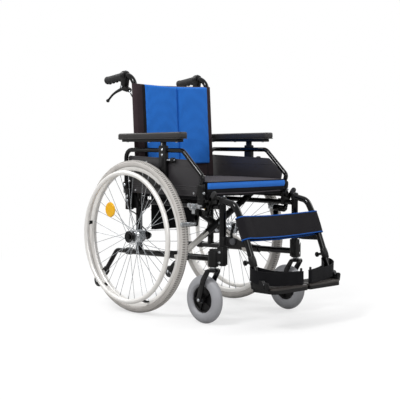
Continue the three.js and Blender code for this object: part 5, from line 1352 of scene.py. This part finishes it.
tipSet = {"x": frameX, "startY": 72, "bendY": 196, "lowY": 282, "lowZ": 126, "wheelY": 318, "wheelZ": 90}


def antiTipTube():
    t = tipSet
    x = t["x"]
    path = bentPath([(x, t["startY"], lowerAt(t["startY"])), (x, t["bendY"], lowerAt(t["bendY"])),
                     (x, t["lowY"], t["lowZ"])], 30, 6)
    parts = [(sweep(path, 9.5, 26, edge=0.6), enamel)]
    for low, high in eitherSide(x, 10.8, 14.4):
        parts.append((plate([(t["lowY"] - 4, t["lowZ"] + 4, 9), (t["wheelY"], t["wheelZ"], 9)], "x", low,
                            high, 1), nylon))
    parts.append((plate([(t["lowY"] - 9, t["lowZ"] + 9, 9), (t["lowY"] - 4, t["lowZ"] + 4, 9)], "x",
                        x - 14.2, x + 14.2, 1.6), nylon))
    parts.append((rod((x - 14.4, t["wheelY"], t["wheelZ"]), (x + 14.4, t["wheelY"], t["wheelZ"]), 4, 16),
                  zinc))
    parts += bolt((x + 14, t["wheelY"], t["wheelZ"]), (1, 0, 0), 5,
                  3) + bolt((x - 14, t["wheelY"], t["wheelZ"]), (-1, 0, 0), 5, 3)
    parts.append((lathe([(0, -12), (3.4, -12), (3.4, -9), (0, -9)], "z", (x, 150, lowerAt(150) + 21), 14),
                  zinc))
    return parts


def antiTipWheel():
    t = tipSet
    x = t["x"]
    half = [(4.6, 9.8), (9, 9.8), (10, 8.4), (17, 8), (19, 9.8), (23, 9.6), (25.6, 7.6), (26.8, 4), (27, 0)]
    profile = [(r, x - a) for r, a in half] + [(r, x + a) for r, a in reversed(half[:-1])]
    return [(lathe(profile, "x", (0, t["wheelY"], t["wheelZ"]), 48), softGrip)]


addPair("AntiTipTube", "anti_tip", antiTipTube, "anti_tip_tube")
addPair("AntiTipWheel", "anti_tip_wheel", antiTipWheel, "anti_tip_wheel")
print("anti-tippers made")


def roundedOutline(x0, x1, y0, y1, r, each=12):
    corners = [(x1 - r, y1 - r, 0), (x0 + r, y1 - r, 90), (x0 + r, y0 + r, 180), (x1 - r, y0 + r, 270)]
    points = []
    for n, (u, v, start) in enumerate(corners):
        arc = [(u + r * math.cos(math.radians(start + 90 * k / 8)),
                v + r * math.sin(math.radians(start + 90 * k / 8))) for k in range(9)]
        nu, nv, after = corners[(n + 1) % 4]
        end = (nu + r * math.cos(math.radians(after)), nv + r * math.sin(math.radians(after)))
        count = max(2, round(math.dist(arc[-1], end) / each))
        arc += [(arc[-1][0] + (end[0] - arc[-1][0]) * k / count,
                 arc[-1][1] + (end[1] - arc[-1][1]) * k / count) for k in range(1, count)]
        points += arc
    return points


cushion = {"half": 215, "front": -370, "rear": 34, "bottom": 490.6, "band": 503.4, "top": 532, "crown": 10.5,
           "sag": 6,
           "corner": 9, "bulge": 3.2, "piping": 1.9}


def cushionShapes():
    c = cushion
    outline = roundedOutline(-c["half"], c["half"], c["front"], c["rear"], c["corner"], 9)
    middle = Vector((0, (c["front"] + c["rear"]) / 2))
    half = (c["rear"] - c["front"]) / 2

    def lift(p):
        u, v = p[0] / c["half"], (p[1] - middle[1]) / half
        return max(0, 1 - u * u) ** 0.6 * max(0, 1 - v * v) ** 0.6

    def sink(p):
        return c["sag"] * max(0.0, 1 - abs(p[0]) / frameX)

    def ring(share, height, out=0.0):
        made = []
        for k, (u, v) in enumerate(outline):
            way = Vector((u - outline[k - 1][0], v - outline[k - 1][1])).normalized()
            p = middle + (Vector((u, v)) - middle) * share + Vector((way.y, -way.x)) * out
            made.append(Vector((p[0], p[1], height(p))))
        return made

    def topAt(p):
        soft = crease(p, 60, 90, 1.6) + crease(p, 21, 34, 0.7, 3.0)
        edge = min(1.0, lift(p) * 3)
        return c["top"] + c["crown"] * lift(p) + soft * edge

    rings = [ring(s, topAt) for s in (0.004, 0.1, 0.2, 0.3, 0.4, 0.5, 0.6, 0.7, 0.78, 0.85, 0.91, 0.95,
                                      0.975, 0.988)]
    rings.append(ring(1, lambda p: c["top"] - 1.2, 0.2))

    def band(low, high, steps, puff, seed):
        for k in range(1, steps + 1):
            t = k / steps
            line = []
            for m, (u, v) in enumerate(outline):
                way = Vector((u - outline[m - 1][0], v - outline[m - 1][1])).normalized()
                swell = math.sin(math.pi * t)
                out = puff * swell + crease((m * 9, t * 30), 26, 40, 0.7, seed) * swell
                line.append(Vector((u + way.y * out, v - way.x * out, high + (low - high) * t)))
            rings.append(line)

    band(c["band"] + 0.6, c["top"] - 1.2, 6, c["bulge"], 7.0)
    rings.append(ring(0.996, lambda p: c["band"] - 0.4))
    band(c["bottom"] + 1.5, c["band"] - 1.0, 4, 1.8, 9.0)
    for s in (0.985, 0.95, 0.85, 0.7, 0.5, 0.3, 0.1, 0.004):
        rings.append(ring(s, lambda p: c["bottom"] - sink(p)))
    body = loft(rings)
    marks = []
    for face in body.faces:  # grey top, blue in front and behind, black sides and hem
        at = face.calc_center_median()
        low = at.z < c["band"]
        marks.append(2 if low else 0 if face.normal.z > 0.45 else 1 if abs(face.normal.x) < 0.75 else 2)
    parts = [(body, [greyCloth, blueCloth, blackCloth], marks)]
    for z, share in ((c["top"] - 1.4, 1.004), (c["band"] - 0.2, 1.002)):
        path = ring(share, lambda p: z)
        parts.append((loopCord(path, c["piping"]), blackCloth))
    return parts


# A soft piece: made like any piece, with a mesh of its own
def addSoft(name, body, parts, replaces):
    obj = addPiece(name, body, parts, replaces, sharp=50)
    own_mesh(obj)
    return obj


seatCushion = addSoft("seatCushion", "seat", cushionShapes(), ["seat_cushion"])
print("cushion made")

sling = {"x": frameX, "railZ": 476, "radius": 12.3, "front": -368, "rear": 10, "top": 488.4, "sag": 6,
         "thick": 2.0}


def slingShapes():
    s = sling
    columns = []
    for k in range(15):  # round the right rail from its inner underside up to the top
        t = math.radians(-40 - 230 * k / 14)
        columns.append((-s["x"] + s["radius"] * math.cos(t), s["railZ"] + s["radius"] * math.sin(t)))
    for k in range(1, 32):
        u = -s["x"] + 2 * s["x"] * k / 32
        columns.append((u, s["top"] - s["thick"] / 2 - s["sag"] * (1 - abs(u) / s["x"]) ** 0.85))
    columns += [(-u, z) for u, z in reversed(columns[:15])]
    grid = []
    for i in range(41):
        y = s["front"] + (s["rear"] - s["front"]) * i / 40
        grid.append([Vector((u, y, z + (crease((u, y), 40, 60, 0.8) if abs(u) < 180 else 0))) for u,
                     z in columns])
    parts = [(clothSkin(grid, lambda i, j: s["thick"] * (1.5 if i < 0.05 or i > 0.95 else 1)), blackCloth)]
    hem = []
    for z in (487.5, 485, 482, 479.5, 478):  # the front hem hangs over in front of the cloth
        hem.append([Vector((-186 + 372 * k / 40, s["front"] - 1.5 + crease((k * 9, z), 40, 30, 1.0, 6.0),
                            z - s["sag"] * 0.5 * (1 - abs(k - 20) / 20)))
                    for k in range(41)])
    parts.append((clothSkin(hem, lambda i, j: 2.4), webbing))
    # grey cord along the hem, as piping; its grey is painted sheen on the hem's fold
    parts.append((sweep([p + Vector((0, -1.0, 5.5)) for p in hem[2]], 2.4, 10), greyCloth))
    for y in (s["front"] + 9, s["rear"] - 9):
        for k in range(34):  # hem stitches
            u = -165 + 10 * k
            z = s["top"] - s["sag"] * (1 - abs(u) / s["x"]) ** 0.85
            parts.append((block(u, u + 4.5, y - 0.5, y + 0.5, z - 0.4, z + 0.5, 0), greyCloth))
    return parts


seatSling = addSoft("seatSling", "seat", slingShapes(), ["seat_sling"])
print("sling made")

cover = {"half": frameX, "sleeve": 13.2, "bottom": 537, "blueFrom": 590, "topSide": 919, "topMiddle": 912,
         "seam": 173.5,
         "pad": 16.5, "swell": 3.5, "back": 7.5, "groove": 10, "rows": 72}


def coverFront(u, z, top):
    c = cover
    side = c["sleeve"] + 2.2 * max(0.0, 1 - (abs(u) / 196) ** 8)
    across = min(1.0, max(0.0, c["seam"] + 1.2 - abs(u)) / 5.5)
    up = min(1.0, max(0.0, z - c["blueFrom"] + 1) / 6)
    down = min(1.0, max(0.0, top - z) / 7)
    edge = math.sqrt(1 - (1 - across) ** 2) * math.sqrt(1 - (1 - up) ** 2) * math.sqrt(1 - (1 - down) ** 2)
    half = (abs(u) - c["seam"] / 2) / (c["seam"] / 2)
    body = c["pad"] + c["swell"] * max(0.0, 1 - half * half)
    groove = c["groove"] * math.exp(-(u / 4.4) ** 2)
    folds = crease((u, z), 55, 120, 1.6) + crease((u, z), 18, 60, 0.5, 5.0)
    near = math.exp(-((abs(u) - 7) / 4) ** 2) + math.exp(-((c["seam"] - 6 - abs(u)) / 4) ** 2)
    folds += near * 0.7 * math.sin(z / 5.3 + 2.2 * noise.noise(Vector((u / 30, z / 40, 2))))
    return side + max(0.4, body - groove + folds) * edge


# One level of the cover, a share of its height: left sleeve, front, right sleeve, back
def coverRow(share, wrap, stops):
    c = cover
    near = min(share, 1 - share)
    pull = 1.0 if near > 0.012 else 0.72 + 0.28 * math.sqrt(max(0.0, 1 - (1 - near / 0.012) ** 2))

    def at(u, off=None):
        top = c["topSide"] - (c["topSide"] - c["topMiddle"]) * (1 - (abs(u) / 215) ** 2)
        z = c["bottom"] + (top - c["bottom"]) * share
        out = coverFront(u, z, top) if off is None else off
        return Vector((u, caneAt(z) - 4 - (out - 4) * pull, z))

    row = [at(-c["half"] + c["sleeve"] * math.cos(turn), -c["sleeve"] * math.sin(turn)) for turn in wrap]
    row += [at(u) for u in stops]
    row += [at(c["half"] - c["sleeve"] * math.cos(turn), -c["sleeve"] * math.sin(turn))
            for turn in reversed(wrap)]
    return row + [at(c["half"] - 8 - (2 * c["half"] - 16) * k / 24, -c["back"]) for k in range(1, 24)]


def coverShapes():
    c = cover
    wrap = [math.radians(75 + 215 * k / 12) for k in range(13)]
    spreads = ((0, (0, 1.5, 3, 4.5, 6, 8)), (c["seam"],
                                             (-6, -4.5, -3, -2, -1, 0, 0.7, 1.3, 2.4)))  # denser there
    stops = {-190 + 380 * k / 62 for k in range(63)}
    stops |= {s * (middle + d) for s in (-1, 1) for middle, spread in spreads for d in spread}
    edges = {0.0, 0.004, 0.012, 0.988, 0.994, 0.998,
             1.0} | {0.02 + 0.96 * k / c["rows"] for k in range(c["rows"] + 1)}
    edges |= {(c["blueFrom"] + d - c["bottom"]) / 380 for d in (-1.2, -0.4, 0.4, 1.4, 2.6, 4, 5.4)}
    body = loft([coverRow(t, wrap, sorted(stops)) for t in sorted(edges)])
    marks = []
    for face in body.faces:
        at = face.calc_center_median()
        inFront = at.y < caneAt(at.z) - 9
        # the narrow faces of the step where the blue pad stands proud take black cloth: painted shade on the
        # step's side
        step = inFront and c["seam"] - 0.8 <= abs(at.x) < c["seam"] + 2.6
        marks.append(2 if step else 0 if inFront and abs(at.x) < c["seam"] and at.z > c["blueFrom"] else 1)
    return [(body, [blueMesh, sideCloth, blackCloth], marks)]


pouchSet = {"half": 130, "front": 51, "rear": 63, "middle": 57, "corner": 5.8, "low": 320, "high": 546,
            "piping": (323, 402), "cord": 1.8}


def pouchShapes():
    p = pouchSet
    outline = roundedOutline(-p["half"], p["half"], p["front"], p["rear"], p["corner"], 12)
    rows = []
    for k in range(36):
        t = k / 35
        z = p["low"] + (p["high"] - p["low"]) * t
        near = min(t, 1 - t)
        draw = 1 if near > 0.05 else 0.9 + 0.1 * math.sqrt(max(0, 1 - (1 - near / 0.05) ** 2))
        line = []
        for u, v in outline:
            puff = (crease((u, z), 50, 40, 3.0, 4.0) + 4 * math.sin(math.pi * t)) * (1 - abs(u) / 140)
            off = v - p["middle"]
            line.append(Vector((u * draw, p["middle"] + off * draw + (puff if off > 0 else -0.3 * puff), z)))
        rows.append(line)
    parts = [(loft(rows), blackCloth)]
    for z in p["piping"]:
        path = [Vector((u * 1.006, p["middle"] + (v - p["middle"]) * 1.1, z)) for u, v in outline]
        parts.append((loopCord(path, p["cord"]), webbing))
    return parts


backCover = addSoft("backCover", "right_frame", coverShapes(), ["back_cover"])
pouch = addSoft("backPouch", "right_frame", pouchShapes(), ())
print("back cover made")

strap = {"inner": 15, "thick": 4.2, "top": 0.985, "bottom": 0.545, "bow": 13, "half": frameX, "rows": 16}
legRun = math.hypot(legSet["endY"] - legSet["topY"], legSet["endZ"] - legSet["topZ"])


def strapLoop():
    s = strap
    r = s["inner"] + s["thick"] / 2
    points = []
    for k in range(13):
        t = math.pi / 2 - math.pi * k / 12
        points.append((s["half"] + r * math.cos(t), r * math.sin(t)))
    for k in range(1, 40):
        share = k / 40
        points.append((s["half"] * (1 - 2 * share), -r + s["bow"] * math.sin(math.pi * share)))
    for k in range(13):
        t = -math.pi / 2 - math.pi * k / 12
        points.append((-s["half"] + r * math.cos(t), r * math.sin(t)))
    for k in range(1, 40):
        share = k / 40
        points.append((-s["half"] * (1 - 2 * share), r + s["bow"] * math.sin(math.pi * share)))
    return points


def strapPoint(u, v, share):
    at = legAt(-legRun * share)
    return Vector((u, at.y, at.z)) - legOut * v


def strapShapes():
    s = strap
    loop = strapLoop()
    grid = []
    for i in range(s["rows"] + 1):
        t = i / s["rows"]
        line = []
        for u, v in loop:
            middle = 1 - (u / s["half"]) ** 2 if abs(u) < s["half"] else 0
            low = s["bottom"] - 0.012 * middle
            high = s["top"] - 0.006 * middle
            pinch = 2.0 * math.exp(-((abs(u) - 164) / 3.2) ** 2)
            soft = crease((u, t * 85), 70, 50, 2.2, 8.0) * max(0, middle) + pinch
            line.append(strapPoint(u, v + soft, low + (high - low) * t))
        grid.append(line)

    def thickness(i, j):
        return s["thick"] * (0.45 + 0.55 * math.sin(math.pi * min(max(i, 0.001), 0.999)) ** 0.5)

    parts = [(clothSkin(grid, thickness, loop=True), strapCloth)]
    for row in (grid[0], grid[-1]):
        parts.append((loopCord(row, 2.6), blueTape))
    return parts


calfStrap = addSoft("calfStrap", "right_hanger", strapShapes(), ["calf_strap"])
print("calf strap made")

world = bpy.data.worlds.new("studio")
bpy.context.scene.world = world
world.use_nodes = True
world.node_tree.nodes.clear()
pathInfo = addNode(world.node_tree, "ShaderNodeLightPath")
heading = addNode(world.node_tree, "ShaderNodeTexCoord").outputs["Generated"]
away = addNode(world.node_tree, "ShaderNodeVectorMath", {0: heading, 1: studio["behind"]},
               operation="DOT_PRODUCT")
level = addNode(world.node_tree, "ShaderNodeMapRange", {
    "Value": away.outputs["Value"], "From Min": -1.0, "From Max": 1.0, "To Min": studio["worldFront"],
    "To Max": studio["worldBehind"]})
shown = addNode(world.node_tree, "ShaderNodeMath",
                {0: level.outputs[0], 1: pathInfo.outputs["Is Camera Ray"]}, operation="MAXIMUM")
sky = addNode(world.node_tree, "ShaderNodeBackground",
              {"Color": linear("#ffffff"), "Strength": shown.outputs[0]})
addNode(world.node_tree, "ShaderNodeOutputWorld", {"Surface": sky.outputs[0]})

for number, (place, aim, size, power) in enumerate(studio["lamps"]):
    lampData = bpy.data.lights.new("lamp%d" % number, "AREA")
    lampData.shape = "RECTANGLE"
    lampData.size, lampData.size_y = size
    lampData.energy = power
    spot = inMetres(*place)
    stand(bpy.data.objects.new(lampData.name, lampData), spot, inMetres(*aim) - spot)


ground = {"size": 40.0, "fadeFrom": 0.6, "fadeTo": 2.2, "fadeLow": 0.62, "speckScale": 3.0, "drop": 0.0005,
          "seen": ("#f4f4f4", "#f1f1f2"), "lighting": "#b4b3b2"}


# The camera sees a pale floor that fades to white; other rays find it greyer
floorMaterial, floorTree = startMaterial("paleFloor")
spread = addNode(floorTree, "ShaderNodeTexCoord").outputs["Object"]
reach = addNode(floorTree, "ShaderNodeVectorMath", {0: spread}, operation="LENGTH")
fade = addNode(floorTree, "ShaderNodeMapRange",
               {"Value": reach.outputs["Value"], "From Min": ground["fadeFrom"],
                "From Max": ground["fadeTo"], "To Min": ground["fadeLow"]})
seen = addNode(floorTree, "ShaderNodeLightPath")
part = addNode(floorTree, "ShaderNodeMath", {0: fade.outputs[0], 1: seen.outputs["Is Camera Ray"]},
               operation="MULTIPLY")
speck = addNode(floorTree, "ShaderNodeTexNoise",
                {"Vector": spread, "Scale": ground["speckScale"], "Detail": 3.0})
tone = addNode(floorTree, "ShaderNodeMix", {0: speck.outputs["Fac"], 6: linear(ground["seen"][0]),
                                            7: linear(ground["seen"][1])}, data_type="RGBA")
held = addNode(floorTree, "ShaderNodeMix", {0: seen.outputs["Is Camera Ray"], 6: linear(ground["lighting"]),
                                            7: tone.outputs[2]}, data_type="RGBA")
matt = addNode(floorTree, "ShaderNodeBsdfDiffuse", {"Color": held.outputs[2]})
glow = addNode(floorTree, "ShaderNodeEmission", {"Color": linear("#ffffff"), "Strength": 1.0})
both = addNode(floorTree, "ShaderNodeMixShader",
               {0: part.outputs[0], 1: matt.outputs[0], 2: glow.outputs[0]})
addNode(floorTree, "ShaderNodeOutputMaterial", {"Surface": both.outputs[0]})
floorShape = bmesh.new()
bmesh.ops.create_grid(floorShape, x_segments=1, y_segments=1, size=ground["size"] / 2)
floorMesh = bpy.data.meshes.new("floor")
floorShape.to_mesh(floorMesh)
floorShape.free()
floorMesh.materials.append(floorMaterial)
floor = bpy.data.objects.new("floor", floorMesh)
floor.location = (0, 0, -ground["drop"])
bpy.context.scene.collection.objects.link(floor)
